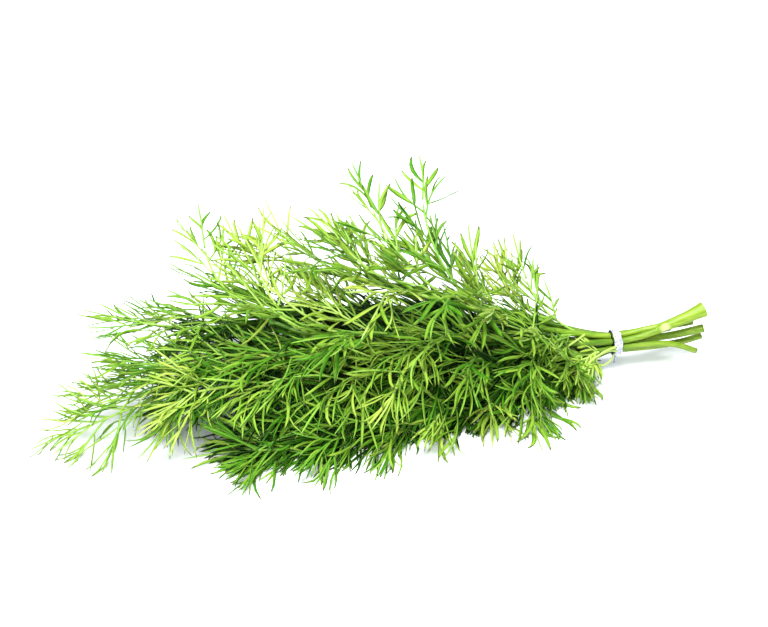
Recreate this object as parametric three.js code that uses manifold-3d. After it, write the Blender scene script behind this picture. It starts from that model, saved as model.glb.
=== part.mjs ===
// A tied bunch of fresh dill, lying on its side. Millimetres, +Z up, cut stems towards +X.
// Seven leafy stems grow apart from a narrow white band. Each one is a single body: its stem,
// the fronds that leave it, and the fans of flat pointed blades on every frond.
import * as THREE from 'three';
import { mergeVertices } from 'three/addons/utils/BufferGeometryUtils.js';
import Module from 'manifold-3d';

const wasm = await Module();
wasm.setup();

// ---------------------------------------------------------------- driving dimensions

const TABLE = 0;                // height of the surface that the bunch lies on
const REST_CUT = 0.12;          // blades that lie on the table are flat by this much
const TIE_X = 118;              // where the band holds the stems
const TIE_HEIGHT = 14;          // height of the band's middle above the table
const TIE_WIDTH = 4.2;
const TIE_WALL = 0.7;
const TIE_BULGE = 0.15;         // how far the band's middle stands out beyond its edges
const TIE_CLEARANCE = 0.3;      // between the band and the stems inside it
const TIE_FACETS = 28;
// Its twisted ends hang below it, through these points from the lowest one of the band.
const TAIL = { path: [[0, -1.6, 1], [0.3, -2, -1.8], [-0.4, -2.1, -4.5]], radii: [0.6, 0.6, 0.42], sides: 5 };

const STEM_RADIUS = 1.6;        // at the band
const STEM_RING = 4.05;         // seven stems stand on this radius, round one in the middle
const STEM_SLOTS = 7;
const STEM_STRAIGHT = 4;        // each stem runs straight for this far either side of the band
const STEM_FLARE = 0.35;        // how much wider a stem is at its cut end
const FLARE_LENGTH = 45;
const STEM_THIN = 0.62;         // share of the radius left where the last frond begins
const STEM_SIDES = 6;
const BASE_RADII = [3.4, 3.2, 2.9, 2.1];   // the wide base that two stems grow from
const BASE_SIDES = 8;

const RACHIS_WIDTH = [1.7, 1.1];      // a frond's middle rib, at the stem and at its end
const RACHIS_THICKNESS = [1.3, 0.8];
const RACHIS_STEPS = 6;
const LEAVE = 0.3;              // how far a frond turns off its stem as it leaves
const KNEE = 0.36;              // and the share of its reach before it bends to its tip
const BARE = 0.36;              // share of the middle rib with no side ribs
const PAIRS_TO = 0.86;          // where along the middle rib the last pair of side ribs stands
const STAGGER = 0.03;           // how far the two of a pair stand apart along the middle rib
const KNEE_SHIFTS = [2.5, 5, 7.5, 10, 13];   // how far a knee may move to stand clear
const END_SHIFT = 0.6;          // share of that move that the middle rib's end makes too
const LOWEST_END = 0.5;         // height of its end above the table, at the least
const FACE = { out: 0.5, up: 0.8 };   // fronds face up and away from the bunch's middle

const FAN_THICKNESS = 0.66;     // a side rib and the flat pointed blades at its end
const RIB_WIDTH = 1.1;
const BLADE_WIDTH = 1.5;
const NOTCH = 0.3;              // how far past the middle between two blades their notch lies
const FAN_SIZES = [4, 4, 3];    // blades in the fans of a frond, from the lowest pair up
const FAN_ANGLE = [46, 27];     // degrees off the middle rib, at the lowest and the last pair
const FAN_LENGTH = [1, 0.8];    // share of the frond's span, at the lowest and the last pair
const END_FAN = 5;              // blades in the fan that ends the middle rib
const END_SPAN = 0.92;          // its length, as a share of the frond's span
const FAN_LEAN = 4;             // degrees that fans stand up out of the frond's plane
const FAN_ARCH = 0.2;           // how far a fan's tip may bow out of its plane
const ARCH_UP = 0.15;           // the middle of that, so that most fans rise a little
const BLADE_ARCH = 0.16;
// The side blades of a fan: place along the rib, side, angle in degrees, share of its length.
const FANS = {
  3: [[0.26, 1, 25, 0.7], [0.32, -1, 23, 0.66]],
  4: [[0.2, 1, 30, 0.7], [0.28, -1, 26, 0.68], [0.42, 1, 15, 0.56]],
  5: [[0.18, 1, 30, 0.68], [0.18, -1, 30, 0.68], [0.36, 1, 15, 0.6], [0.36, -1, 15, 0.6]],
};
// How widely each of these strays: angles in degrees, the rest as shares.
const STRAY = { tilt: 52, fanAngle: 12, bladeAngle: 10, fanLength: 0.28, bladeLength: 0.24, place: 0.02 };

const CLEAR = 0.15;             // kept between the fronds of one stem
const APART = 0.7;              // and between one leafy stem and the next
const RIB_ROOM = 0.55;          // half the room that a rib or a blade takes at its foot
const TIP_ROOM = 0.33;          // and at its tip
const FOOT_SHARE = 0.06;        // share of a fan's rib that is hidden in the middle rib
const TOLERANCE = 0.03;         // edges shorter than this are closed up after joining

const GREEN = { light: 0x8cc63a, mid: 0x6aa828, deep: 0x4a8a20 };
const WHITE = 0xeef0f2;

// Each leafy stem: the slot it takes in the band, the points from its cut end to the band,
// the points from the band to its last frond, and its fronds. A frond is the place along X
// where it leaves the stem, its tip, the lift of its knee and the span of its lowest side ribs.
const SPRIGS = [
  { name: 'sprig_1', colour: GREEN.light,
    base: [[163.5, -2, 29], [156, -2.4, 26.2], [148, -2.8, 23.6], [141, -3, 21.6]],
    stems: [
      { slot: 0, cut: [[143, -2.6, 22.3], [131, -0.6, 19.6]],
        run: [[99.5, 1, 20.6], [80, 2, 26], [55, 2, 37], [30, 2, 48], [5, 6, 56], [-20, 13, 63]],
        fronds: [
          [100, [75, 46, 56], 0, 28],
          [62, [46, 27, 77], 4, 34],
          [48, [31, 69, 96], 8, 31],
          [34, [-4, 67, 95], 6, 31],
          [8, [-30, 50, 84], 6, 36],
          [-19, [-52, 34, 82], 4, 34],
          [68, [34, -34, 46], 8, 36],
          [52, [12, -44, 46], 10, 36],
          [22, [-20, -36, 58], 6, 36],
        ] },
      { slot: 1, cut: [[143, -3.4, 21.4], [131, -3.6, 18.2]],
        run: [[98, -4, 18.5], [78, -5, 22], [55, -5, 26], [25, -6, 33], [-8, -6, 39],
          [-40, -6, 44], [-62, 4, 50]],
        fronds: [
          [-24, [-71, 58, 78], 8, 36],
          [-44, [-52, 47, 84], 8, 31],
          [-61, [-81, 80, 73], 0, 34],
          [86, [60, -40, 26], 8, 36],
          [46, [2, -50, 36], 8, 36],
          [4, [-48, -42, 46], 6, 36],
          [-40, [-100, -12, 52], 6, 34],
        ] },
    ] },
  { name: 'sprig_2', colour: GREEN.mid,
    stems: [
      { slot: 2, cut: [[159.5, -6, 7], [147, -6, 12.6], [134, -4.8, 13.6]],
        run: [[98, -6, 13], [75, -10, 15], [50, -12, 18], [25, -14, 20], [-6, -17, 21],
          [-37, -18, 23], [-60, -17, 26], [-82, -20, 28]],
        fronds: [
          [84, [64, -54, 12], 8, 36],
          [58, [22, -58, 20], 10, 39],
          [30, [-20, -60, 22], 10, 39],
          [0, [-52, -56, 24], 8, 39],
          [-34, [-92, -50, 24], 6, 36],
          [-81, [-128, -38, 18], 2, 36],
        ] },
    ] },
  { name: 'sprig_3', colour: GREEN.light,
    stems: [
      { slot: null, cut: [[164, -2, 17.5], [148, -0.6, 14.6], [134, 0, 14]],
        run: [[98, 0, 15], [70, 0, 19], [40, -1, 25], [0, -3, 29], [-45, -6, 32],
          [-74, -8, 31], [-100, -10, 26], [-119, -12, 20]],
        fronds: [
          [34, [-18, -38, 34], 6, 34],
          [2, [-52, -30, 36], 6, 34],
          [-22, [-88, -32, 40], 6, 36],
          [-56, [-118, -2, 44], 4, 34],
          [-72, [-128, -46, 6], 4, 36],
          [-90, [-145, 10, 22], 3, 31],
          [-106, [-165, 2, 13], 2, 31],
          [-118, [-178, -16, 1.5], 1, 34],
        ] },
    ] },
  { name: 'sprig_4', colour: GREEN.mid,
    stems: [
      { slot: 3, cut: [[165, 2.6, 9.8], [152, 0.6, 9], [138, -1.4, 9.8]],
        run: [[98, -6, 7.6], [75, -14, 3.2], [50, -22, 1.05], [20, -29, 0.98], [-12, -34, 0.9],
          [-36, -38, 2], [-56, -42, 4]],
        fronds: [
          [104, [82, -35, 5], 2, 26],
          [84, [62, -66, 0.4], 6, 36],
          [62, [38, -60, 6], 8, 36],
          [40, [6, -67, 2], 6, 39],
          [14, [-24, -70, 3], 6, 39],
          [-14, [-62, -68, 3], 4, 36],
          [-55, [-104, -54, 2], 2, 36],
        ] },
    ] },
  { name: 'sprig_5', colour: GREEN.mid,
    stems: [
      { slot: 6, cut: [[160.4, 5.2, 17.9], [148, 4.5, 17.2], [134, 3.4, 16.6]],
        run: [[98, 6, 20], [75, 12, 27], [50, 19, 34], [22, 27, 41], [-8, 34, 47], [-32, 42, 52]],
        fronds: [
          [82, [64, 54, 44], 6, 34],
          [52, [24, 70, 62], 6, 36],
          [20, [-22, 76, 60], 6, 36],
          [-31, [-66, 72, 60], 2, 36],
        ] },
    ] },
  { name: 'sprig_6', colour: GREEN.mid,
    stems: [
      { slot: 5, cut: [[150, 8.6, 13.4], [136, 5.4, 13.4]],
        run: [[98, 7, 13.5], [75, 13, 16], [50, 20, 20], [22, 25, 24], [-10, 28, 28],
          [-42, 24, 33], [-68, 18, 38], [-90, 12, 42]],
        fronds: [
          [72, [48, 62, 26], 6, 36],
          [42, [6, 72, 34], 6, 39],
          [8, [-38, 74, 38], 6, 39],
          [-32, [-86, 58, 44], 6, 36],
          [-66, [-128, 26, 36], 4, 34],
          [-89, [-146, 34, 46], 2, 34],
        ] },
    ] },
  { name: 'sprig_7', colour: GREEN.deep,
    stems: [
      { slot: 4, cut: [[142, 3.6, 10.2], [134, 2.6, 10.3]],
        run: [[98, 6, 7.6], [75, 14, 3.2], [50, 24, 1.05], [20, 32, 0.98], [-12, 38, 0.9],
          [-40, 42, 2.6], [-62, 44, 6]],
        fronds: [
          [94, [80, 50, 0.4], 3, 31],
          [66, [36, 70, 6], 6, 36],
          [34, [-6, 78, 10], 8, 39],
          [2, [-48, 78, 12], 8, 39],
          [-24, [-86, 72, 8], 6, 36],
          [-61, [-116, 48, 6], 2, 36],
        ] },
    ] },
];

// ---------------------------------------------------------------- small tools

const UP = new THREE.Vector3(0, 0, 1);
const vec = ([x, y, z]) => new THREE.Vector3(x, y, z);
const radians = THREE.MathUtils.degToRad;
const mix = THREE.MathUtils.lerp;
const limit = (value) => THREE.MathUtils.clamp(value, 0, 1);
const curveThrough = (points) => new THREE.CatmullRomCurve3(points.map(vec), false, 'catmullrom', 0.5);

// A repeatable run of random numbers from 0 to 1.
function draws(seed) {
  let state = seed >>> 0;
  return () => {
    state = (state + 0x6d2b79f5) >>> 0;
    let t = Math.imul(state ^ (state >>> 15), 1 | state);
    t = (t + Math.imul(t ^ (t >>> 7), 61 | t)) ^ t;
    return ((t ^ (t >>> 14)) >>> 0) / 4294967296;
  };
}

// The part of a direction that stands square to another, at length 1.
function square(direction, to) {
  return direction.clone().addScaledVector(to, -direction.dot(to)).normalize();
}

// Frames carried along a path without twist: two directions square to it at each point.
function framesAlong(points, start) {
  let normal = start.clone();
  return points.map((point, i) => {
    const before = points[Math.max(i - 1, 0)];
    const after = points[Math.min(i + 1, points.length - 1)];
    const tangent = after.clone().sub(before).normalize();
    normal = square(normal, tangent);
    return { normal, side: tangent.clone().cross(normal) };
  });
}

// A closed rod along a path: a cylinder with one ring of corners to each point.
function rod(points, radii, sides, start = UP) {
  const steps = points.length - 1;
  const geometry = new THREE.CylinderGeometry(1, 1, 1, sides, steps);
  const frames = framesAlong(points, start);
  const corners = geometry.getAttribute('position');
  for (let i = 0; i < corners.count; i += 1) {
    const [x, y, z] = [corners.getX(i), corners.getY(i), corners.getZ(i)];
    const step = Math.round((y + 0.5) * steps);
    const turn = Math.atan2(x, z) + Math.PI / sides;
    const radius = Math.hypot(x, z) > 0.5 ? radii[step] : 0;
    const at = points[step].clone()
      .addScaledVector(frames[step].normal, radius * Math.cos(turn))
      .addScaledVector(frames[step].side, radius * Math.sin(turn));
    corners.setXYZ(i, at.x, at.y, at.z);
  }
  return geometry;
}

// A closed geometry as a solid that can be joined and cut. Faces that closed up are left out.
function solid(geometry) {
  const plain = geometry.clone();
  plain.deleteAttribute('normal');
  plain.deleteAttribute('uv');
  const merged = mergeVertices(plain, 1e-4);
  const faces = [];
  for (let i = 0; i < merged.index.count; i += 3) {
    const [a, b, c] = [0, 1, 2].map((k) => merged.index.getX(i + k));
    if (a !== b && b !== c && c !== a) faces.push(a, b, c);
  }
  return new wasm.Manifold(new wasm.Mesh({
    numProp: 3,
    vertProperties: new Float32Array(merged.getAttribute('position').array),
    triVerts: new Uint32Array(faces),
  }));
}

function geometryOf(body) {
  const { vertProperties, triVerts } = body.getMesh();
  const geometry = new THREE.BufferGeometry();
  geometry.setAttribute('position', new THREE.BufferAttribute(vertProperties, 3));
  geometry.setIndex(Array.from(triVerts));
  geometry.computeVertexNormals();
  return geometry;
}

// The shortest distance between two straight lengths, a to b and c to d.
function gapBetween(a, b, c, d) {
  const u = b.clone().sub(a);
  const v = d.clone().sub(c);
  const w = a.clone().sub(c);
  const [uu, uv, vv, uw, vw] = [u.dot(u), u.dot(v), v.dot(v), u.dot(w), v.dot(w)];
  const spread = uu * vv - uv * uv;
  const first = spread > 1e-9 ? limit((uv * vw - vv * uw) / spread) : 0;
  const t = limit((uv * first + vw) / vv);
  const s = limit((uv * t - uw) / uu);
  return a.clone().addScaledVector(u, s).distanceTo(c.clone().addScaledVector(v, t));
}

// Everything placed so far, as straight lengths with a radius and an owner.
const placed = [];

function place(points, radii, owner) {
  points.slice(1).forEach((b, i) => {
    placed.push({ a: points[i], b, r: Math.max(radii[i], radii[i + 1]), owner });
  });
}

// The room left round a path: below 0 it is too close to something that isn't its own.
function roomRound(points, radii, sprig, isOwn) {
  let least = Infinity;
  points.slice(1).forEach((b, i) => {
    const a = points[i];
    const r = Math.max(radii[i], radii[i + 1]);
    for (const other of placed) {
      if (isOwn(other.owner, i)) continue;
      const kept = other.r + r + (other.owner.sprig === sprig ? CLEAR : APART);
      const far = kept + a.distanceTo(b) + other.a.distanceTo(other.b);
      if (a.distanceTo(other.a) > far) continue;
      least = Math.min(least, gapBetween(a, b, other.a, other.b) - kept);
    }
  });
  return least;
}

// ---------------------------------------------------------------- stems

// Where a stem passes through the band: in the middle, or in one of the slots round it,
// counted from the top towards the front.
function slotPlace(slot) {
  if (slot === null) return [0, TIE_HEIGHT];
  const angle = radians(90 + slot * 360 / STEM_SLOTS);
  return [STEM_RING * Math.cos(angle), TIE_HEIGHT + STEM_RING * Math.sin(angle)];
}

function stemPoints(stem) {
  const [y, z] = slotPlace(stem.slot);
  return [...stem.cut, [TIE_X + STEM_STRAIGHT, y, z], [TIE_X - STEM_STRAIGHT, y, z], ...stem.run];
}

// The place along a stem's curve, from 0 to 1, where it passes a given X.
function stationAt(path, x) {
  let low = 0;
  let high = 1;
  while (high - low > 1e-9) {
    const middle = (low + high) / 2;
    if (path.getPoint(middle).x > x) low = middle;
    else high = middle;
  }
  return low;
}

// Wider at the cut end, full at the band, thin where the last frond begins.
function stemRadius(x, end) {
  if (x < TIE_X) return STEM_RADIUS * mix(1, STEM_THIN, (TIE_X - x) / (TIE_X - end));
  return STEM_RADIUS * (1 + STEM_FLARE * limit((x - TIE_X) / FLARE_LENGTH) ** 2);
}

// ---------------------------------------------------------------- a frond's middle rib

// It leaves near the stem's own direction, and then turns towards its tip.
function rachisCurve(path, [x, tip, lift, span], shift) {
  const station = stationAt(path, x);
  const root = path.getPoint(station);
  const toTip = vec(tip).sub(root);
  const away = path.getTangent(station).multiplyScalar(1 - LEAVE)
    .addScaledVector(toTip.clone().normalize(), LEAVE).normalize();
  const knee = root.clone().addScaledVector(away, KNEE * toTip.length())
    .addScaledVector(UP, lift).add(shift);
  const end = vec(tip).addScaledVector(vec(tip).sub(knee).normalize(), -END_SPAN * span)
    .addScaledVector(shift, END_SHIFT);
  end.z = Math.max(end.z, TABLE + LOWEST_END);
  return new THREE.QuadraticBezierCurve3(root, knee, end);
}

// Shifts of the knee that are tried in turn until the frond stands clear: none, then rings of
// eight, each wider than the one before.
function kneeShifts() {
  const rings = KNEE_SHIFTS.flatMap((size) => [0, 1, 2, 3, 4, 5, 6, 7].map((k) => {
    const angle = k * Math.PI / 4;
    return new THREE.Vector3(0, size * Math.cos(angle), size * Math.sin(angle));
  }));
  return [new THREE.Vector3(), ...rings];
}

function growRachis(item) {
  const isOwn = ({ sprig, frond }, i) => sprig === item.sprig && frond === undefined && i === 0;
  for (const shift of kneeShifts()) {
    const curve = rachisCurve(item.path, item.frond, shift);
    const points = curve.getPoints(RACHIS_STEPS);
    const radii = points.map((point, i) => mix(...RACHIS_WIDTH, i / RACHIS_STEPS) / 2);
    if (roomRound(points, radii, item.sprig, isOwn) < 0) continue;
    place(points, radii, { sprig: item.sprig, frond: item.seed });
    const middle = curve.getPoint(0.5);
    const out = new THREE.Vector3(0, middle.y, middle.z - TIE_HEIGHT).normalize();
    const face = out.multiplyScalar(FACE.out).addScaledVector(UP, FACE.up).normalize();
    return { ...item, curve, face };
  }
  throw new Error(`the frond at ${item.frond[0]} of sprig ${item.sprig + 1} has no room`);
}

// ---------------------------------------------------------------- fans of blades

const stray = (random, range) => range * (random() - 0.5);

// A fan in its own plane: the rib along x, then each side blade's foot, reach and turn.
function fanPlan(size, length, random) {
  const blades = FANS[size].map(([at, hand, angle, share]) => {
    const turn = radians(angle + stray(random, STRAY.bladeAngle));
    const reach = length * share * (1 + stray(random, STRAY.bladeLength));
    return { x: at * length, hand, reach, turn, bow: BLADE_ARCH * stray(random, reach) };
  });
  return { length, blades, bow: FAN_ARCH * (length * ARCH_UP + stray(random, length)) };
}

function scaled(plan, share) {
  const blades = plan.blades.map((blade) => ({
    ...blade, x: blade.x * share, reach: blade.reach * share, bow: blade.bow * share,
  }));
  return { length: plan.length * share, bow: plan.bow * share, blades };
}

const tipOf = ({ x, hand, reach, turn, bow }) => [x + reach * Math.cos(turn),
  hand * reach * Math.sin(turn), bow];

// The directions of a fan that stands on the middle rib at u.
function fanFrame(item, { u, hand, angle, tilt }) {
  const tangent = item.curve.getTangent(u);
  const normal = square(item.face, tangent);
  const out = normal.clone().cross(tangent).multiplyScalar(hand * Math.cos(tilt))
    .addScaledVector(normal, Math.sin(tilt));
  const along = tangent.clone().multiplyScalar(Math.cos(angle)).addScaledVector(out, Math.sin(angle));
  const across = tangent.clone().multiplyScalar(Math.sin(angle)).addScaledVector(out, -Math.cos(angle));
  const top = along.clone().cross(across).multiplyScalar(-hand);
  return { root: item.curve.getPoint(u), along, across, top };
}

// A point of the fan's plane in the world: the fan bows as it goes, and never enters the table.
function fanPlace(plan, frame, [x, y, z]) {
  const share = x / plan.length;
  const at = frame.root.clone().addScaledVector(frame.along, x).addScaledVector(frame.across, y)
    .addScaledVector(frame.top, z + plan.bow * share * share);
  at.z = Math.max(at.z, TABLE + FAN_THICKNESS / 2 - REST_CUT);
  return at;
}

// The fan's middle lines, the rib's own foot first.
function fanLines(plan, frame) {
  const onRib = (x) => fanPlace(plan, frame, [x, 0, 0]);
  const last = Math.max(...plan.blades.map((blade) => blade.x));
  const lines = [[onRib(plan.length * FOOT_SHARE), onRib(last)], [onRib(last), onRib(plan.length)]];
  for (const blade of plan.blades) {
    lines.push([onRib(blade.x), fanPlace(plan, frame, tipOf(blade))]);
  }
  return lines;
}

// Changes tried in turn until a fan stands clear: more angle, more tilt, share of its length.
// A fan that never stands clear is left as its bare rule, with no plan.
const FAN_CHANGES = [[0, 0, 1], [0, 16, 1], [0, -16, 1], [-10, 0, 1], [10, 0, 1], [-12, 28, 0.92],
  [-12, -28, 0.92], [0, 44, 0.9], [0, -44, 0.9], [-22, 0, 0.85], [-8, 14, 0.75], [-8, -14, 0.75],
  [0, 0, 0.6], [-18, 26, 0.6], [-18, -26, 0.6], [0, 60, 0.6], [0, -60, 0.6], [-10, 0, 0.5],
  [0, 30, 0.5], [0, -30, 0.5], [12, 0, 0.5], [-18, 45, 0.5], [-18, -45, 0.5]];

function growFan(item, rule, random) {
  const full = fanPlan(rule.size, rule.length, random);
  const isEnd = rule.u === 1;
  const isOwn = (line) => ({ frond, u }) => frond === item.seed
    && (u === rule.u || (u === undefined && (isEnd || line === 0)));
  for (const [turn, lean, share] of FAN_CHANGES) {
    const angle = radians(rule.angle + (isEnd ? 0 : turn));
    const frame = fanFrame(item, { ...rule, angle, tilt: radians(rule.tilt + lean) });
    const plan = scaled(full, share);
    const lines = fanLines(plan, frame);
    const radii = [RIB_ROOM, TIP_ROOM];
    const clear = lines.every((line, k) => roomRound(line, radii, item.sprig, isOwn(k)) >= 0);
    if (!clear) continue;
    for (const line of lines) place(line, radii, { sprig: item.sprig, frond: item.seed, u: rule.u });
    return { ...rule, plan, frame };
  }
  return rule;
}

function growFans(item) {
  const random = draws(item.seed);
  const span = item.frond[3];
  const last = { size: END_FAN, hand: 1, u: 1, angle: 0, tilt: 0, length: span * END_SPAN };
  const end = growFan(item, last, random);
  const fans = [];
  FAN_SIZES.forEach((size, pair) => {
    const share = pair / (FAN_SIZES.length - 1);
    for (const hand of [1, -1]) {
      const u = mix(BARE, PAIRS_TO, share) + STAGGER * hand + stray(random, STRAY.place);
      const angle = mix(...FAN_ANGLE, share) + stray(random, STRAY.fanAngle);
      const tilt = FAN_LEAN + stray(random, STRAY.tilt);
      const length = span * mix(...FAN_LENGTH, share) * (1 + stray(random, STRAY.fanLength));
      fans.push(growFan(item, { size, hand, u, angle, tilt, length }, random));
    }
  });
  return { ...item, fans, end };
}

// ---------------------------------------------------------------- a frond as one body

const CELL = 100;       // room for each fan in the flat pattern
const EDGE = 1;         // half the width of the middle rib there, and of a side rib's foot
const TURN = 4000;      // the pattern bends at this radius, so that no triangle spans three cells

// One side of a fan, from its rib's foot to its last notch, as points of the flat pattern. Each
// has its place in the pattern and in the world, the way that is up, and half its thickness.
function fanSide({ plan, frame }, hand, toPattern) {
  const side = plan.blades.filter((blade) => blade.hand === hand).sort((a, b) => a.x - b.x);
  const point = (local, half) => ({
    pattern: toPattern(local), at: fanPlace(plan, frame, local), top: frame.top, half,
  });
  const half = FAN_THICKNESS / 2;
  return side.flatMap((blade, i) => {
    const foot = BLADE_WIDTH / 2 / Math.sin(blade.turn);
    const next = side[i + 1];
    const notch = next ? (blade.x + next.x) / 2 + NOTCH : blade.x + foot;
    const start = i === 0 ? [point([blade.x - foot, hand * RIB_WIDTH / 2, 0], half)] : [];
    return [...start, point(tipOf(blade), 0), point([notch, hand * BLADE_WIDTH / 2, 0], half)];
  });
}

// A whole fan: out along one side, round its tip and back along the other.
function fanOutline(fan, toPattern) {
  const local = [fan.plan.length, 0, 0];
  const tip = { pattern: toPattern(local), at: fanPlace(fan.plan, fan.frame, local), top: UP, half: 0 };
  return [...fanSide(fan, -1, toPattern), tip, ...fanSide(fan, 1, toPattern).reverse()];
}

// A point on one edge of the middle rib, which is at x in the flat pattern.
function rachisEdge(item, u, hand, x) {
  const tangent = item.curve.getTangent(u);
  const top = square(item.face, tangent);
  const across = top.clone().cross(tangent);
  const at = item.curve.getPoint(u).addScaledVector(across, hand * mix(...RACHIS_WIDTH, u) / 2);
  return { pattern: [x, hand * EDGE], at, top, half: mix(...RACHIS_THICKNESS, u) / 2 };
}

// One edge of the frond, from its foot to its end, with the fans that stand on it.
function frondSide(item, hand) {
  const length = item.curve.getLength();
  const points = [rachisEdge(item, 0, hand, 0), rachisEdge(item, BARE / 2, hand, CELL / 2)];
  item.fans.forEach((fan, k) => {
    if (fan.hand !== hand) return;
    const x = CELL * (k + 1);
    if (!fan.plan) {
      points.push(rachisEdge(item, fan.u, hand, x));
      return;
    }
    const foot = RIB_WIDTH / 2 / Math.sin(radians(fan.angle)) / length;
    const toPattern = ([along, across]) => [x + across, hand * (EDGE + along)];
    points.push(rachisEdge(item, fan.u - foot, hand, x - EDGE), ...fanOutline(fan, toPattern),
      rachisEdge(item, fan.u + foot, hand, x + EDGE));
  });
  return points;
}

// The flat pattern with its long strip bent to a wide arc.
const bent = ([x, y]) => [(TURN + y) * Math.sin(x / TURN),
  (TURN + y) * Math.cos(x / TURN) - TURN];

// The whole outline: one edge, the fan at the end or a plain point, and back along the other edge.
function frondOutline(item) {
  const x = CELL * (item.fans.length + 1);
  const end = item.end.plan
    ? fanOutline(item.end, ([along, across]) => [x + along, -across])
    : [{ ...rachisEdge(item, 1, 0, x), half: 0 }];
  const flat = [...frondSide(item, 1), ...end, ...frondSide(item, -1).reverse()];
  return flat.map((point) => ({ ...point, pattern: bent(point.pattern) }));
}

// The flat pattern is cut out and given two faces, and each of its points goes to its place.
function frondGeometry(item) {
  const key = (x, y) => `${Math.fround(x)} ${Math.fround(y)}`;
  const outline = frondOutline(item);
  const places = new Map(outline.map((point) => [key(...point.pattern), point]));
  const shape = new THREE.Shape(outline.map(({ pattern }) => new THREE.Vector2(...pattern)));
  const geometry = new THREE.ExtrudeGeometry(shape, { depth: 1, bevelEnabled: false });
  const corners = geometry.getAttribute('position');
  for (let i = 0; i < corners.count; i += 1) {
    const { at, top, half } = places.get(key(corners.getX(i), corners.getY(i)));
    const corner = at.clone().addScaledVector(top, corners.getZ(i) > 0.5 ? half : -half);
    corners.setXYZ(i, corner.x, corner.y, corner.z);
  }
  return geometry;
}

// ---------------------------------------------------------------- growing the bunch

// All stems come first, then all middle ribs, then the fans, so that each keeps clear of the rest.
const parts = SPRIGS.map(() => []);

SPRIGS.forEach(({ base }, sprig) => {
  if (!base) return;
  const points = curveThrough(base).getPoints(BASE_RADII.length - 1);
  parts[sprig].push(rod(points, BASE_RADII, BASE_SIDES));
  place(points, BASE_RADII, { sprig });
});

const bareFronds = SPRIGS.flatMap(({ stems }, sprig) => stems.flatMap((stem, k) => {
  const controls = stemPoints(stem);
  const path = curveThrough(controls);
  const points = path.getPoints(controls.length - 1);
  const radii = points.map((point) => stemRadius(point.x, points.at(-1).x));
  parts[sprig].push(rod(points, radii, STEM_SIDES));
  place(points, radii, { sprig });
  return stem.fronds.map((frond, f) => ({ sprig, path, frond, seed: 1000 * (sprig + 1) + 100 * k + f }));
}));

for (const item of bareFronds.map(growRachis).map(growFans)) {
  parts[item.sprig].push(frondGeometry(item));
}

// ---------------------------------------------------------------- bodies

const reach = 600;
const table = solid(new THREE.BoxGeometry(reach, reach, reach).translate(0, 0, TABLE - reach / 2));

// A leafy stem joined into one body, flat where it lies on the table. Cut scraps are dropped.
function leafyStem(geometries) {
  const whole = wasm.Manifold.union(geometries.map(solid)).subtract(table).simplify(TOLERANCE);
  return whole.decompose().sort((a, b) => b.volume() - a.volume())[0];
}

// A narrow ring that bulges a little in the middle, with its two ends twisted together below.
function band() {
  const inner = STEM_RING + STEM_RADIUS + TIE_CLEARANCE;
  const outer = inner + TIE_WALL;
  const half = TIE_WIDTH / 2;
  const profile = [[inner, -half], [outer - TIE_BULGE, -half], [outer, 0], [outer - TIE_BULGE, half],
    [inner, half], [inner, -half]].map(([x, y]) => new THREE.Vector2(x, y));
  const ring = new THREE.LatheGeometry(profile, TIE_FACETS).rotateZ(-Math.PI / 2);
  ring.translate(TIE_X, 0, TIE_HEIGHT);
  const low = new THREE.Vector3(TIE_X, 0, TIE_HEIGHT - outer);
  const path = TAIL.path.map((point) => vec(point).add(low));
  const tail = rod(path, TAIL.radii, TAIL.sides, new THREE.Vector3(1, 0, 0));
  return solid(ring).add(solid(tail));
}

function piece(name, body, color, roughness) {
  const material = new THREE.MeshStandardMaterial({ color, roughness, metalness: 0 });
  const mesh = new THREE.Mesh(geometryOf(body), material);
  mesh.name = name;
  return mesh;
}

const bunch = new THREE.Group();
SPRIGS.forEach(({ name, colour }, sprig) => {
  bunch.add(piece(name, leafyStem(parts[sprig]), colour, 0.5));
});
bunch.add(piece('tie', band(), WHITE, 0.8));

// The origin is on the table, under the middle of the bunch.
const box = new THREE.Box3().setFromObject(bunch);
bunch.position.set(-(box.min.x + box.max.x) / 2, -(box.min.y + box.max.y) / 2, -TABLE);
bunch.updateMatrixWorld(true);

export default bunch;
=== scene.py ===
# %% [markdown]
# # A tied bunch of fresh dill
#
# Dill is a soft herb with hollow green stems and leaves cut into threads. Seven leafy stems lie
# together here, held near their cut ends by one narrow paper-covered tie. The solids of the part
# are loaded first. They fix every size and place, and each is then dressed by a finer piece that
# keeps its form: rounder ribbed stems, and thousands of thin, channelled threads.
#
# The order is: the view, the light, the finishes, how one strand is shaped, how the stems run,
# how a frond is built from threads, the seven leafy stems, and the tie.

# %% Load the fixed frame
import math
import random

import bmesh
import bpy
import numpy as np
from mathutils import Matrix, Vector, noise


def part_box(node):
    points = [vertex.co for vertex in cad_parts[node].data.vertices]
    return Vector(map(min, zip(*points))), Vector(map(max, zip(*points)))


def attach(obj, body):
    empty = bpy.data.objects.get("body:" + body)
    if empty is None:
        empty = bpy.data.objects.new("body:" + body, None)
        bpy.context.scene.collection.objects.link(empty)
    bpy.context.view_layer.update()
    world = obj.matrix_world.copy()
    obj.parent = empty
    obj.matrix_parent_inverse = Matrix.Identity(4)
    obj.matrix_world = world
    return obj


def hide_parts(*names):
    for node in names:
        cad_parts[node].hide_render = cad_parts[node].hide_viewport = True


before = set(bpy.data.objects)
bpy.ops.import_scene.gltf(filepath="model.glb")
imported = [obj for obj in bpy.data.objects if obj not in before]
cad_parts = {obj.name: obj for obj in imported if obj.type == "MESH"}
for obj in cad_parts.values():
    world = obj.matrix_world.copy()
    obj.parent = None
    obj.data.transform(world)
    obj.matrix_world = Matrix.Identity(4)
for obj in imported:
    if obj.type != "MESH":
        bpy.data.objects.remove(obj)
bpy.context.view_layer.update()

print("solids:", sorted(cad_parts))

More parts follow.
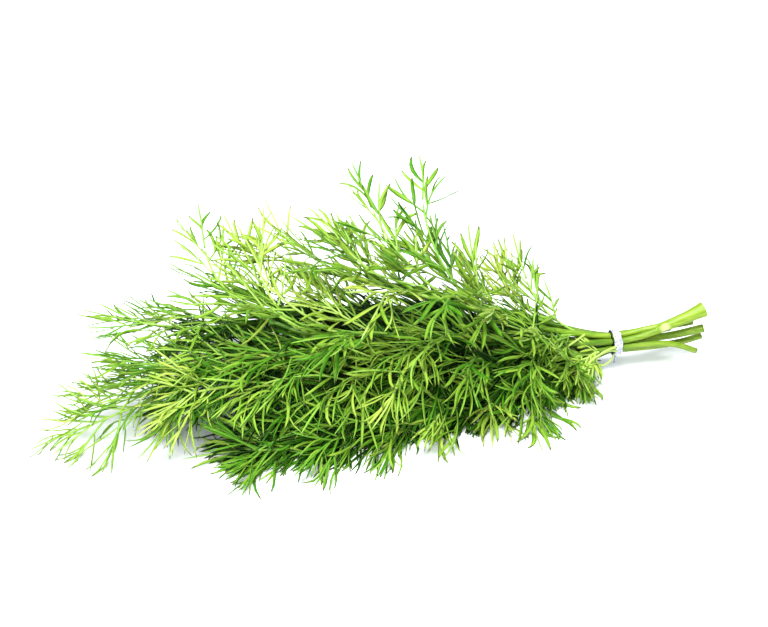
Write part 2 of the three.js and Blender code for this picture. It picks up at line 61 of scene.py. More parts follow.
# %% [markdown]
# Every length below is in millimetres, as a gardener would measure it, unless its name or a
# comment says metres. The points of the stems are given in the drawing's own frame,
# where the tie stands at a round number along X, so one shift takes them to the frame of the
# solids. The tie's own box says how large that shift is.

# %% Units and the place of the drawing
MM = 0.001
UP = Vector((0, 0, 1))
TIE_X = 118
TIE_HEIGHT = 14

tie_low, tie_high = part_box("tie")
tie_middle = (Vector(tie_low) + Vector(tie_high)) / 2 / MM
SHIFT = Vector((tie_middle.x - TIE_X, tie_middle.y, 0))
print("drawing moves by", [round(value, 2) for value in SHIFT], "mm")

# %% [markdown]
# The camera looks down on the lying bunch from its leafy side, with a long lens from a metre
# away. A long lens keeps the far fronds almost as large as the near ones, so that the bunch
# keeps its true form. A Track To constraint could aim it. `to_track_quat` does the same once and
# for all, by turning the camera's own -Z axis to face its target.

# %% The camera
CAMERA_AZIMUTH = math.radians(-12)
CAMERA_RISE = math.radians(32)
CAMERA_DISTANCE = 1000
LENS, SENSOR_WIDTH = 93.75, 36
LOOK_AT = Vector((2.74, 20.72, 33.34)) + SHIFT
back = Vector((math.sin(CAMERA_AZIMUTH) * math.cos(CAMERA_RISE),
               -math.cos(CAMERA_AZIMUTH) * math.cos(CAMERA_RISE), math.sin(CAMERA_RISE)))

camera = bpy.data.objects.new("camera", bpy.data.cameras.new("camera"))
camera.data.lens = LENS
camera.data.sensor_width = SENSOR_WIDTH
camera.location = (LOOK_AT + back * CAMERA_DISTANCE) * MM
camera.rotation_euler = (-back).to_track_quat("-Z", "Y").to_euler()
bpy.context.collection.objects.link(camera)
bpy.context.scene.camera = camera
print("camera at", [round(value, 3) for value in camera.location], "m")

# %% [markdown]
# Colours are easiest to pick as the hex values of a paint chart, but a shader works with linear
# light. One function turns the first into the second. Another adds a node with its settings and
# its links in one line, which keeps each finish below short enough to read.

# %% Helpers for finishes
def linear(hex_colour):
    """An sRGB hex colour as linear red, green, blue and alpha."""
    parts = [int(hex_colour[i:i + 2], 16) / 255 for i in (1, 3, 5)]
    return (*[p / 12.92 if p <= 0.04045 else ((p + 0.055) / 1.055) ** 2.4 for p in parts], 1)


def add_node(tree, kind, inputs=None, stops=None, **settings):
    """Adds a node. An input is a value, or the output of another node to link from. A colour
    ramp also has stops: places from 0 to 1, each with a hex colour."""
    node = tree.nodes.new(kind)
    for key, value in settings.items():
        setattr(node, key, value)
    for key, value in (inputs or {}).items():
        if isinstance(value, bpy.types.NodeSocket):
            tree.links.new(value, node.inputs[key])
        else:
            node.inputs[key].default_value = value
    if stops:
        elements = node.color_ramp.elements
        while len(elements) < len(stops):
            elements.new(1)
        for element, (position, colour) in zip(elements, stops):
            element.position = position
            element.color = linear(colour)
    return node


def new_material(name):
    """An empty material and its node tree."""
    material = bpy.data.materials.new(name)
    material.use_nodes = True
    material.node_tree.nodes.clear()
    return material, material.node_tree


print("mid grey in linear light:", round(linear("#808080")[0], 3))

# %% [markdown]
# The surface under the bunch is a matt board, painted almost white. It shows soft shadows and no
# shine, so a high roughness and one colour are enough. A single square, much larger than the
# view, is all the mesh it needs.

# %% The surface
SURFACE_REACH = 3       # metres from its middle to each edge
floor_finish, tree = new_material("matt_white_surface")
shader = add_node(tree, "ShaderNodeBsdfPrincipled", {"Base Color": linear("#f8f9fb"), "Roughness": 0.7})
add_node(tree, "ShaderNodeOutputMaterial", {"Surface": shader.outputs["BSDF"]})

floor_mesh = bmesh.new()
bmesh.ops.create_grid(floor_mesh, x_segments=1, y_segments=1, size=SURFACE_REACH)
floor = bpy.data.objects.new("floor", bpy.data.meshes.new("floor"))
floor_mesh.to_mesh(floor.data)
floor_mesh.free()
floor.data.materials.append(floor_finish)
bpy.context.collection.objects.link(floor)
print("surface:", [round(side, 1) for side in floor.dimensions], "m")

# %% [markdown]
# The room is a light tent. An even pale sky stands all round, one large soft lamp overhead gives
# the soft shadow under the leaves, and a weaker one at the front keeps the near fronds from going
# dull. Small lamps would throw hard shadows. The colours are shown with the Standard transform,
# because white has to stay white here and greens have to keep their strength.

# %% The sky and the lamps
bpy.context.scene.view_settings.view_transform = "Standard"
bpy.context.scene.view_settings.look = "Medium High Contrast"

sky = bpy.data.worlds.new("light_tent")
sky.use_nodes = True
sky.node_tree.nodes["Background"].inputs["Color"].default_value = linear("#eef3fb")
sky.node_tree.nodes["Background"].inputs["Strength"].default_value = 0.76
bpy.context.scene.world = sky


def soft_lamp(name, metres, size, watts):
    """A square lamp that faces the middle of the bunch. Its place and size are in metres."""
    lamp = bpy.data.objects.new(name, bpy.data.lights.new(name, "AREA"))
    lamp.data.size = size
    lamp.data.energy = watts
    lamp.location = metres
    lamp.rotation_euler = (-Vector(metres)).to_track_quat("-Z", "Y").to_euler()
    bpy.context.collection.objects.link(lamp)
    print(name, "at", metres, "gives", watts, "W")


soft_lamp("overhead_lamp", (-0.2, -0.3, 1.3), size=0.7, watts=27)
soft_lamp("front_lamp", (-0.5, -1.1, 0.8), size=0.6, watts=8)

# %% [markdown]
# A dill thread is soft and a little waxy. Light that falls on its back shows through its front,
# so the finish mixes a glossy skin with a translucent one. One flat green would make the bunch
# look like plastic, so three numbers on the mesh vary it. `tone` belongs to a whole thread: young
# fronds are more yellow than old ones, and fronds far inside the bunch get a lower `tone`, which is
# painted shade. `reach` runs from 0 at a thread's foot to 1 at its tip, where it has dried to
# grey-brown. `edge` is high at the thin margins, which let more light through than the middle;
# the finish paints that light on them as a pale glow and highlight.

# %% The colour of the threads
UNEVEN = 0.35           # how much of a thread's tone changes from patch to patch
leaf_finish, tree = new_material("soft_waxy_dill_leaf")
tone = add_node(tree, "ShaderNodeAttribute", attribute_name="tone").outputs["Fac"]
reach = add_node(tree, "ShaderNodeAttribute", attribute_name="reach").outputs["Fac"]
edge = add_node(tree, "ShaderNodeAttribute", attribute_name="edge").outputs["Fac"]
place = add_node(tree, "ShaderNodeTexCoord").outputs["Object"]

# Cells in the skin gather in soft patches about 4 mm long.
patches = add_node(tree, "ShaderNodeTexNoise", {"Vector": place, "Scale": 1 / (4 * MM), "Detail": 3})
uneven = add_node(tree, "ShaderNodeMath", {0: patches.outputs["Fac"], 1: UNEVEN, 2: -UNEVEN / 2},
                  operation="MULTIPLY_ADD").outputs["Value"]
shade = add_node(tree, "ShaderNodeMath", {0: tone, 1: uneven}, operation="ADD", use_clamp=True)
# The dark end of the ramp is painted shade: the inner fronds' tone is lowered to reach it.
green = add_node(tree, "ShaderNodeValToRGB", {"Fac": shade.outputs["Value"]},
                 stops=[(0, "#0a3603"), (0.35, "#4f8d1c"), (0.65, "#8bb03c"), (1, "#b0c458")])
# Painted pale glow and highlight on the thin margins; the last sixth of a thread turns dry.
margin = add_node(tree, "ShaderNodeMapRange", {"Value": edge, "From Min": 0.75, "From Max": 1.1,
                                               "To Max": 0.33}).outputs["Result"]
painted_margin_glow = add_node(tree, "ShaderNodeMixRGB", {"Fac": margin, "Color1": green.outputs["Color"],
                                          "Color2": linear("#b6ce78")}).outputs["Color"]
dry = add_node(tree, "ShaderNodeMapRange", {"Value": reach, "From Min": 0.84, "From Max": 0.95,
                                            "To Max": 0.85}).outputs["Result"]
skin = add_node(tree, "ShaderNodeMixRGB", {"Fac": dry, "Color1": painted_margin_glow,
                                           "Color2": linear("#4a4a30")}).outputs["Color"]
print(leaf_finish.name, "has", len(tree.nodes), "nodes for its colour")

# %% The shine and the glow of the threads
# Small bumps in the wax, 0.8 mm apart, break up the shine. Real ones are finer still, and would
# not show.
relief = add_node(tree, "ShaderNodeTexNoise", {"Vector": place, "Scale": 1 / (0.8 * MM), "Detail": 2})
bump = add_node(tree, "ShaderNodeBump", {"Height": relief.outputs["Fac"], "Strength": 0.25,
                                         "Distance": 0.1 * MM})
waxy = add_node(tree, "ShaderNodeBsdfPrincipled",
                {"Base Color": skin, "Roughness": 0.42, "Specular IOR Level": 0.26,
                 "Normal": bump.outputs["Normal"]})
glow = add_node(tree, "ShaderNodeHueSaturation", {"Value": 1.15, "Saturation": 1.1, "Color": skin})
through = add_node(tree, "ShaderNodeBsdfTranslucent", {"Color": glow.outputs["Color"]})
leaf = add_node(tree, "ShaderNodeMixShader", {0: 0.2, 1: waxy.outputs["BSDF"],
                                              2: through.outputs["BSDF"]})
add_node(tree, "ShaderNodeOutputMaterial", {"Surface": leaf.outputs["Shader"]})
print(leaf_finish.name, "has", len(tree.nodes), "nodes in all")

# %% [markdown]
# The ribs that carry the threads are thicker and full of juice. They let no light through, and
# have a paler, cooler green and more gloss. They could share the threads' finish, but a frond
# reads as one only when its ribs stand out from its threads.

# %% The finish of the ribs
rib_finish, tree = new_material("juicy_dill_rib")
tone = add_node(tree, "ShaderNodeAttribute", attribute_name="tone").outputs["Fac"]
place = add_node(tree, "ShaderNodeTexCoord").outputs["Object"]
patches = add_node(tree, "ShaderNodeTexNoise", {"Vector": place, "Scale": 1 / (3 * MM), "Detail": 2})
shade = add_node(tree, "ShaderNodeMath", {0: patches.outputs["Fac"], 1: 0.3, 2: tone},
                 operation="MULTIPLY_ADD").outputs["Value"]
# Low tones, on the inner fronds, are painted shade.
green = add_node(tree, "ShaderNodeValToRGB", {"Fac": shade},
                 stops=[(0.1, "#17480a"), (0.5, "#548a24"), (0.8, "#86ac48"), (1, "#a4be60")])
bump = add_node(tree, "ShaderNodeBump", {"Height": patches.outputs["Fac"], "Strength": 0.15,
                                         "Distance": 0.1 * MM})
shader = add_node(tree, "ShaderNodeBsdfPrincipled",
                  {"Base Color": green.outputs["Color"], "Roughness": 0.38, "Specular IOR Level": 0.32,
                   "Normal": bump.outputs["Normal"]})
add_node(tree, "ShaderNodeOutputMaterial", {"Surface": shader.outputs["BSDF"]})
print(rib_finish.name, "has", len(tree.nodes), "nodes")

# %% [markdown]
# A dill stem is smooth, finely ribbed and waxy, yellow-green where it was cut and deeper green
# among the leaves. A colour ramp along X gives that in one step, where a painted picture would
# need a map. Stems that lie low in the tie are in the shade of the others, and painted shade
# darkens them, most of all on the leafy side: `tone` and the place beside the tie set it together.

# %% The green of the stems
LEAFY_X, CUT_X = 40, 165        # where the stems are at their deepest and at their most yellow
SHADE_REACH = 8                 # how far to each side of the tie the shade changes
stem_finish, tree = new_material("waxy_ribbed_dill_stem")
place = add_node(tree, "ShaderNodeTexCoord").outputs["Object"]
along = add_node(tree, "ShaderNodeSeparateXYZ", {"Vector": place}).outputs["X"]
cut_to_leaf = add_node(tree, "ShaderNodeMapRange", {"Value": along, "From Min": LEAFY_X * MM,
                                                    "From Max": CUT_X * MM}).outputs["Result"]
base = add_node(tree, "ShaderNodeValToRGB", {"Fac": cut_to_leaf},
                stops=[(0, "#3f7a18"), (0.3, "#558a1a"), (0.48, "#74951f"), (1, "#849c24")])
# Painted shade: stems low in the tie, most of all on the tie's leafy side, mix towards a dark green.
tone = add_node(tree, "ShaderNodeAttribute", attribute_name="tone").outputs["Fac"]
low_stem_painted_shade = add_node(tree, "ShaderNodeMapRange", {"Value": tone, "From Min": 0.3, "From Max": 0.7,
                                             "To Min": 1, "To Max": 0}).outputs["Result"]
tie_side_painted_shade = add_node(tree, "ShaderNodeMapRange",
                  {"Value": along, "From Min": (tie_middle.x - SHADE_REACH) * MM,
                   "From Max": (tie_middle.x + SHADE_REACH) * MM,
                   "To Min": 0.95, "To Max": 0.35}).outputs["Result"]
depth = add_node(tree, "ShaderNodeMath", {0: low_stem_painted_shade, 1: tie_side_painted_shade}, operation="MULTIPLY").outputs["Value"]
base = add_node(tree, "ShaderNodeMixRGB", {"Fac": depth, "Color1": base.outputs["Color"],
                                           "Color2": linear("#2c5610")})
print(stem_finish.name, "has", len(tree.nodes), "nodes for its green")

# %% [markdown]
# The ribs of a stem are real ridges in its mesh, and `edge` is a little higher on them, so the
# same ridges draw the pale and dark stripes. Two marks follow: pale torn fibres from handling, and
# a painted shadow line along the tie's edge. Each is a distance from a known place, so it stays
# put on the stems.

# %% The stripes, streaks and marks of the stems
FORK_SPOT = Vector((142.5, -5.5, 22)) + SHIFT
TIE_SHADOW_X = tie_middle.x - 2.5
edge = add_node(tree, "ShaderNodeAttribute", attribute_name="edge").outputs["Fac"]
rib = add_node(tree, "ShaderNodeMapRange", {"Value": edge, "From Min": 0.94, "From Max": 1.05,
                                            "To Min": 0.6, "To Max": 0}).outputs["Result"]
striped = add_node(tree, "ShaderNodeMixRGB", {"Fac": rib, "Color1": base.outputs["Color"],
                                              "Color2": linear("#4a7a1a")}).outputs["Color"]
# Long streaks run with the stem: one to each 12.5 mm along it, and nine to each 10 mm across.
stretch = add_node(tree, "ShaderNodeMapping",
                   {"Vector": place, "Scale": (1 / (12.5 * MM), 9 / (10 * MM), 9 / (10 * MM))})
streaks = add_node(tree, "ShaderNodeTexNoise", {"Vector": stretch.outputs["Vector"], "Scale": 1.0,
                                                "Detail": 3})
streak = add_node(tree, "ShaderNodeMapRange", {"Value": streaks.outputs["Fac"], "From Min": 0.45,
                                               "From Max": 0.7, "To Max": 0.4}).outputs["Result"]
skin = add_node(tree, "ShaderNodeMixRGB", {"Fac": streak, "Color1": striped,
                                           "Color2": linear("#a9b64c")}).outputs["Color"]
# Where two stems part from one base, torn fibres make a pale spot about 5 mm wide.
from_fork = add_node(tree, "ShaderNodeVectorMath", {0: place, 1: FORK_SPOT * MM},
                     operation="DISTANCE").outputs["Value"]
torn = add_node(tree, "ShaderNodeMapRange", {"Value": from_fork, "From Min": 1.2 * MM,
                                             "From Max": 3.4 * MM, "To Min": 0.85,
                                             "To Max": 0}).outputs["Result"]
skin = add_node(tree, "ShaderNodeMixRGB", {"Fac": torn, "Color1": skin,
                                           "Color2": linear("#bcc587")}).outputs["Color"]
# Beside the tie, on its leafy side, a dark line 0.8 mm wide is painted shadow at its edge.
tie_shadow_line = add_node(tree, "ShaderNodeMath", {0: along, 1: TIE_SHADOW_X * MM, 2: 0.4 * MM},
                     operation="COMPARE").outputs["Value"]
skin = add_node(tree, "ShaderNodeMixRGB", {"Fac": tie_shadow_line, "Color1": skin,
                                           "Color2": linear("#16240a")}).outputs["Color"]
print(stem_finish.name, "has", len(tree.nodes), "nodes for its colour")

# %% The shine of the stems
# A thin coat of wax lies on a duller skin.
bump = add_node(tree, "ShaderNodeBump", {"Height": streaks.outputs["Fac"], "Strength": 0.2,
                                         "Distance": 0.15 * MM})
shader = add_node(tree, "ShaderNodeBsdfPrincipled",
                  {"Base Color": skin, "Roughness": 0.42, "Specular IOR Level": 0.35, "Coat Weight": 0.08,
                   "Coat Roughness": 0.25, "Normal": bump.outputs["Normal"]})
add_node(tree, "ShaderNodeOutputMaterial", {"Surface": shader.outputs["BSDF"]})
print(stem_finish.name, "has", len(tree.nodes), "nodes in all")

# %% [markdown]
# A cut face shows the pith inside the stem: pale, dull, and dotted by the ends of its fibres,
# half a millimetre apart. Voronoi cells are the nearest pattern to such a bundle seen end on.

# %% The finish of the cut faces
pith_finish, tree = new_material("cut_dill_pith")
place = add_node(tree, "ShaderNodeTexCoord").outputs["Object"]
fibres = add_node(tree, "ShaderNodeTexVoronoi", {"Vector": place, "Scale": 1 / (0.5 * MM)})
pale = add_node(tree, "ShaderNodeValToRGB", {"Fac": fibres.outputs["Distance"]},
                stops=[(0, "#dcebb0"), (1, "#b5cf74")])
shader = add_node(tree, "ShaderNodeBsdfPrincipled", {"Base Color": pale.outputs["Color"],
                                                     "Roughness": 0.75})
add_node(tree, "ShaderNodeOutputMaterial", {"Surface": shader.outputs["BSDF"]})
print(pith_finish.name, "has", len(tree.nodes), "nodes")

# %% [markdown]
# The tie is a strip of thin white paper round a soft wire, wound on by hand. Crumpled paper
# catches the light in bright facets about a millimetre wide, with lavender-grey shade in the folds.
# Cells times a fine grain give both at once, and the same value drives the colour and the bump,
# so the colour is painted shade: dark in every fold where it sinks, pale on the facets.

# %% The finish of the tie
paper_finish, tree = new_material("crumpled_tie_paper")
place = add_node(tree, "ShaderNodeTexCoord").outputs["Object"]
folds = add_node(tree, "ShaderNodeTexVoronoi", {"Vector": place, "Scale": 1 / (1.1 * MM)})
grain = add_node(tree, "ShaderNodeTexNoise", {"Vector": place, "Scale": 1 / (0.5 * MM), "Detail": 4})
depth = add_node(tree, "ShaderNodeMath", {0: folds.outputs["Distance"], 1: grain.outputs["Fac"]},
                 operation="MULTIPLY").outputs["Value"]
# Painted shade: the colour darkens to lavender-grey in the folds of the crumples.
white = add_node(tree, "ShaderNodeValToRGB", {"Fac": depth},
                 stops=[(0, "#5a5a78"), (0.16, "#9292a8"), (0.4, "#c4c4d0")])
bump = add_node(tree, "ShaderNodeBump", {"Height": depth, "Strength": 0.6, "Distance": 0.3 * MM})
shader = add_node(tree, "ShaderNodeBsdfPrincipled",
                  {"Base Color": white.outputs["Color"], "Roughness": 0.6,
                   "Normal": bump.outputs["Normal"]})
add_node(tree, "ShaderNodeOutputMaterial", {"Surface": shader.outputs["BSDF"]})
print(paper_finish.name, "has", len(tree.nodes), "nodes")

# %% [markdown]
# Every thread, rib and stem is a strand: one small outline carried along a line, closed at the
# foot and drawn to a point at the end. Modelling some thousands of them one by one would be
# slow, and curves with a bevel give round threads, where these are flat and channelled like a
# gutter. So each kind of strand is modelled once, straight, as a blank: a ring is shaped and
# extruded level by level. An Array modifier with no offset stacks as many copies as are needed,
# and each copy is then bent to its own line.

# %% The outlines of the strands
# From the right margin over the top: half widths across, half thicknesses up.
THREAD_OUTLINE = [(1, 0.45), (0, 0.1), (-1, 0.45), (-0.6, -0.4), (0, -0.75), (0.6, -0.4)]
RIB_OUTLINE = [(1, 0.5), (0, 0.75), (-1, 0.5), (-0.8, -0.5), (0, -0.95), (0.8, -0.5)]
ROUND_SIDES = 8
ROUND_OUTLINE = [(math.cos(k * math.tau / ROUND_SIDES), math.sin(k * math.tau / ROUND_SIDES))
                 for k in range(ROUND_SIDES)]
STEM_SIDES, STEM_RIDGE = 20, 0.05
STEM_OUTLINE = [((1 + STEM_RIDGE * (-1) ** k) * math.cos(k * math.tau / STEM_SIDES),
                 (1 + STEM_RIDGE * (-1) ** k) * math.sin(k * math.tau / STEM_SIDES))
                for k in range(STEM_SIDES)]
OUTLINES = {"thread": THREAD_OUTLINE, "rib": RIB_OUTLINE, "middle": ROUND_OUTLINE,
            "stem": STEM_OUTLINE, "tail": ROUND_OUTLINE}
print({kind: len(outline) for kind, outline in OUTLINES.items()}, "corners")

# %% How wide each kind of strand is along its length
# A frond's middle rib clasps the stem with a wider foot, two steps long, and thins to its end.
MIDDLE_STEPS, CLASP, MIDDLE_THINS = 15, 0.7, 0.38
STEM_STEPS, TAIL_STEPS = 110, 24
# Places along the strand from 0 to 1, with the share of its width there.
TAPERS = {
    "thread": [(0, 0.5), (0.12, 0.72), (0.3, 0.93), (0.5, 1), (0.72, 0.86), (0.92, 0.5), (1, 0)],
    "rib": [(0, 1), (0.08, 0.88), (0.25, 0.82), (0.42, 0.78), (0.58, 0.8), (0.72, 0.85),
            (0.84, 0.72), (0.94, 0.42), (1, 0)],
    "middle": [(k / MIDDLE_STEPS, 1 + CLASP * max(1 - k / 2, 0) - MIDDLE_THINS * k / MIDDLE_STEPS)
               for k in range(MIDDLE_STEPS)] + [(1, 0)],
    "stem": [(k / STEM_STEPS, 1) for k in range(STEM_STEPS)] + [(1, 0)],
    "tail": [(k / TAIL_STEPS, 1) for k in range(TAIL_STEPS)] + [(1, 0)],
}
print({kind: len(taper) for kind, taper in TAPERS.items()}, "levels")


# %% The blanks
def make_blank(name, outline, levels):
    """A straight strand, one unit long for each level, that ends in a point."""
    shape = bmesh.new()
    ring = bmesh.ops.create_circle(shape, segments=len(outline), radius=1)["verts"]
    for corner, (x, y) in zip(ring, outline):
        corner.co = (x, y, 0)
    foot = list(shape.edges)
    rim = foot
    for level in range(1, levels):
        grown = bmesh.ops.extrude_edge_only(shape, edges=rim)["geom"]
        rim = [item for item in grown if isinstance(item, bmesh.types.BMEdge) and item.is_boundary]
        corners = [item for item in grown if isinstance(item, bmesh.types.BMVert)]
        for corner in corners:
            corner.co.z = level
    bmesh.ops.pointmerge(shape, verts=corners, merge_co=(0, 0, levels - 1))
    bmesh.ops.contextual_create(shape, geom=foot)
    bmesh.ops.recalc_face_normals(shape, faces=shape.faces)
    mesh = bpy.data.meshes.new(name)
    shape.to_mesh(mesh)
    shape.free()
    print(name, "blank:", len(mesh.polygons), "faces")
    return mesh


BLANKS = {kind: make_blank(kind, OUTLINES[kind], len(TAPERS[kind])) for kind in TAPERS}

# %% [markdown]
# Bending is arithmetic on whole arrays at once. A Curve modifier bends a mesh too, but only along
# one curve, and there are thousands here. Each strand has a line of points, one for each level of
# its blank, and a face direction. At every level the line's own direction, the face and their
# cross product give three axes, and the outline is laid out along two of them. A roll and a twist
# turn the ribbon about its line, as in a real leaf. Nothing goes below the surface that the bunch
# lies on.

# %% Copying and bending the blanks
LOWEST = 0.02           # above the surface
TIP_DEPTH = 0.4         # share of a strand's thickness that is left where its width is nothing
TINY = 1e-9             # keeps a division by next to nothing from failing


def stacked_copies(blank, count):
    """A mesh that holds the blank so many times over, all in one place."""
    holder = bpy.data.objects.new("holder", blank)
    bpy.context.collection.objects.link(holder)
    array = holder.modifiers.new("stack", "ARRAY")
    array.use_relative_offset = False
    array.count = count
    evaluated = holder.evaluated_get(bpy.context.evaluated_depsgraph_get())
    mesh = bpy.data.meshes.new_from_object(evaluated)
    bpy.data.objects.remove(holder)
    return mesh


def unit(vectors):
    """Vectors at length 1."""
    return vectors / np.maximum(np.linalg.norm(vectors, axis=-1, keepdims=True), TINY)


def bent_strands(kind, strands):
    """A mesh of many strands. Each one is a dict: line, face, roll, twist, width, depth, tone."""
    blank = BLANKS[kind]
    corners = np.array([tuple(corner.co) for corner in blank.vertices])
    across, over = corners[:, 0], corners[:, 1]
    level = np.rint(corners[:, 2]).astype(int)
    places = np.array([place for place, _ in TAPERS[kind]])
    taper = np.array([share for _, share in TAPERS[kind]])

    lines = np.array([strand["line"] for strand in strands])
    ahead = unit(np.gradient(lines, axis=1))
    faces = np.array([tuple(strand["face"]) for strand in strands])[:, None, :]
    side = unit(np.cross(faces, ahead))
    top = np.cross(ahead, side)
    roll = np.array([strand["roll"] for strand in strands])[:, None]
    twist = np.array([strand["twist"] for strand in strands])[:, None]
    turn = (roll + twist * places)[..., None]
    side, top = side * np.cos(turn) + top * np.sin(turn), top * np.cos(turn) - side * np.sin(turn)
    widths = np.array([strand["width"] * taper for strand in strands])
    depths = np.array([strand["depth"] * (TIP_DEPTH + (1 - TIP_DEPTH) * taper) for strand in strands])
    at = (lines[:, level] + side[:, level] * (widths[:, level] * across)[..., None]
          + top[:, level] * (depths[:, level] * over)[..., None])
    at[..., 2] = np.maximum(at[..., 2], LOWEST)

    mesh = stacked_copies(blank, len(strands))
    mesh.vertices.foreach_set("co", (at * MM).ravel())
    tones = np.array([strand["tone"] for strand in strands])
    values = {"tone": np.repeat(tones, len(corners)),
              "reach": np.tile(places[level], len(strands)),
              "edge": np.tile(np.hypot(across, over), len(strands))}
    for name, numbers in values.items():
        mesh.attributes.new(name, "FLOAT", "POINT").data.foreach_set("value", numbers)
    mesh.shade_smooth()
    mesh.update()
    return mesh


print("a thread lies no lower than", LOWEST, "mm above the surface")

# %% [markdown]
# The stems run on smooth curves through given points: from the cut end, through the
# tie, and on to the last frond. A physics run could lay stems down too, but not in a chosen
# arrangement. In the tie one stem stands in the middle, and the others each have one of seven
# slots round it, counted from the top.
#
# A frond is written as the place along X where it leaves its stem, its tip, how far its knee is
# lifted, and the span of its lowest side ribs. The solids have the ones under `fronds`. Those
# under `inner` lie close to the stems, and their darker tone is painted shade for the inside of the
# bunch. Those under `outer` fill gaps along the edge of the bunch. `tone` is how yellow a sprig is
# as a whole, and `flare` is how much its stem widens towards the cut end.

# %% The first sprig, on top: two stems from one base
SPRIGS = {}
SPRIGS["sprig_1"] = {
    "tone": 0.6,
    "base": [(163.5, -2, 29), (156, -2.4, 26.2), (148, -2.8, 23.6), (141, -3, 21.6)],
    "stems": [
        {"slot": 0, "cut": [(143, -2.6, 22.3), (131, -0.6, 19.6)],
         "run": [(99.5, 1, 20.6), (80, 2, 26), (55, 2, 37), (30, 2, 48), (5, 6, 56), (-20, 13, 63)],
         "fronds": [
             (100, (75, 46, 56), 0, 28), (62, (46, 27, 77), 4, 34), (48, (31, 69, 96), 8, 31),
             (34, (-4, 67, 95), 6, 31), (8, (-30, 50, 84), 6, 36), (-19, (-52, 34, 82), 4, 34),
             (68, (34, -34, 46), 8, 36), (52, (12, -44, 46), 10, 36), (22, (-20, -36, 58), 6, 36)],
         "outer": [
             (101, (64, -20, 24), 0, 24), (28, (-4, 32, 76), 6, 32), (0, (-34, 24, 72), 6, 32)]},
        {"slot": 1, "cut": [(143, -3.4, 21.4), (131, -3.6, 18.2)],
         "run": [(98, -4, 18.5), (78, -5, 22), (55, -5, 26), (25, -6, 33), (-8, -6, 39),
                 (-40, -6, 44), (-62, 4, 50)],
         "fronds": [
             (-24, (-71, 58, 78), 8, 36), (-44, (-52, 47, 84), 8, 31), (-61, (-81, 80, 73), 0, 34),
             (86, (60, -40, 26), 8, 36), (46, (2, -50, 36), 8, 36), (4, (-48, -42, 46), 6, 36),
             (-40, (-100, -12, 52), 6, 34)],
         "outer": [
             (-6, (-44, 24, 64), 6, 32), (-34, (-72, 26, 62), 6, 30)]}]}


def tell_fronds(name):
    """Prints how many fronds of each sort stand on each stem of a sprig."""
    for stem in SPRIGS[name]["stems"]:
        print(name, {sort: len(stem.get(sort, [])) for sort in ("fronds", "inner", "outer")})


tell_fronds("sprig_1")

# %% The second sprig, at the front
SPRIGS["sprig_2"] = {
    "tone": 0.64,
    "stems": [
        {"slot": 2, "flare": -0.2, "cut": [(159.5, -6, 7), (147, -6, 12.6), (134, -4.8, 13.6)],
         "run": [(98, -6, 13), (75, -10, 15), (50, -12, 18), (25, -14, 20), (-6, -17, 21),
                 (-37, -18, 23), (-60, -17, 26), (-82, -20, 28)],
         "fronds": [
             (84, (64, -54, 12), 8, 36), (58, (22, -58, 20), 10, 39), (30, (-20, -60, 22), 10, 39),
             (0, (-52, -56, 24), 8, 39), (-34, (-92, -50, 24), 6, 36),
             (-81, (-128, -38, 18), 2, 36)],
         "inner": [
             (88, (50, 8, 26), 4, 28), (60, (12, 8, 32), 4, 31), (28, (-28, 4, 34), 4, 31),
             (-8, (-70, 4, 34), 4, 31), (78, (38, -42, 8), 0, 31), (44, (-2, -46, 7), 0, 31),
             (12, (-42, -44, 8), 0, 31), (-20, (-82, -42, 10), 0, 31), (-60, (-118, -22, 22), 2, 28)],
         "outer": [
             (112, (92, -22, 9), 1, 16), (103, (78, -30, 12), 1, 22)]}]}
tell_fronds("sprig_2")

# %% The third sprig, in the middle of the tie and the longest
SPRIGS["sprig_3"] = {
    "tone": 0.56,
    "stems": [
        {"slot": None, "cut": [(164, -2, 17.5), (148, -0.6, 14.6), (134, 0, 14)],
         "run": [(98, 0, 15), (70, 0, 19), (40, -1, 25), (0, -3, 29), (-45, -6, 32),
                 (-74, -8, 31), (-100, -10, 26), (-119, -12, 20)],
         "fronds": [
             (34, (-18, -38, 34), 6, 34), (2, (-52, -30, 36), 6, 34), (-22, (-88, -32, 40), 6, 36),
             (-56, (-118, -2, 44), 4, 34), (-72, (-128, -46, 6), 4, 36), (-90, (-145, 10, 22), 3, 31),
             (-106, (-165, 2, 13), 2, 31), (-118, (-178, -16, 1.5), 1, 34)],
         "inner": [
             (92, (58, 22, 26), 4, 28), (58, (16, 26, 34), 4, 31), (20, (-26, 26, 36), 4, 31),
             (-18, (-66, 22, 36), 4, 31), (-48, (-98, 18, 32), 2, 31), (44, (2, -24, 12), 0, 31),
             (2, (-44, -26, 12), 0, 31), (-38, (-84, -22, 12), 0, 31), (-56, (-106, -14, 5), 0, 30),
             (-80, (-126, -10, 6), 0, 26)],
         "outer": [
             (-74, (-150, -2, 44), 3, 31), (-62, (-145, 4, 36), 2, 31)]}]}
tell_fronds("sprig_3")

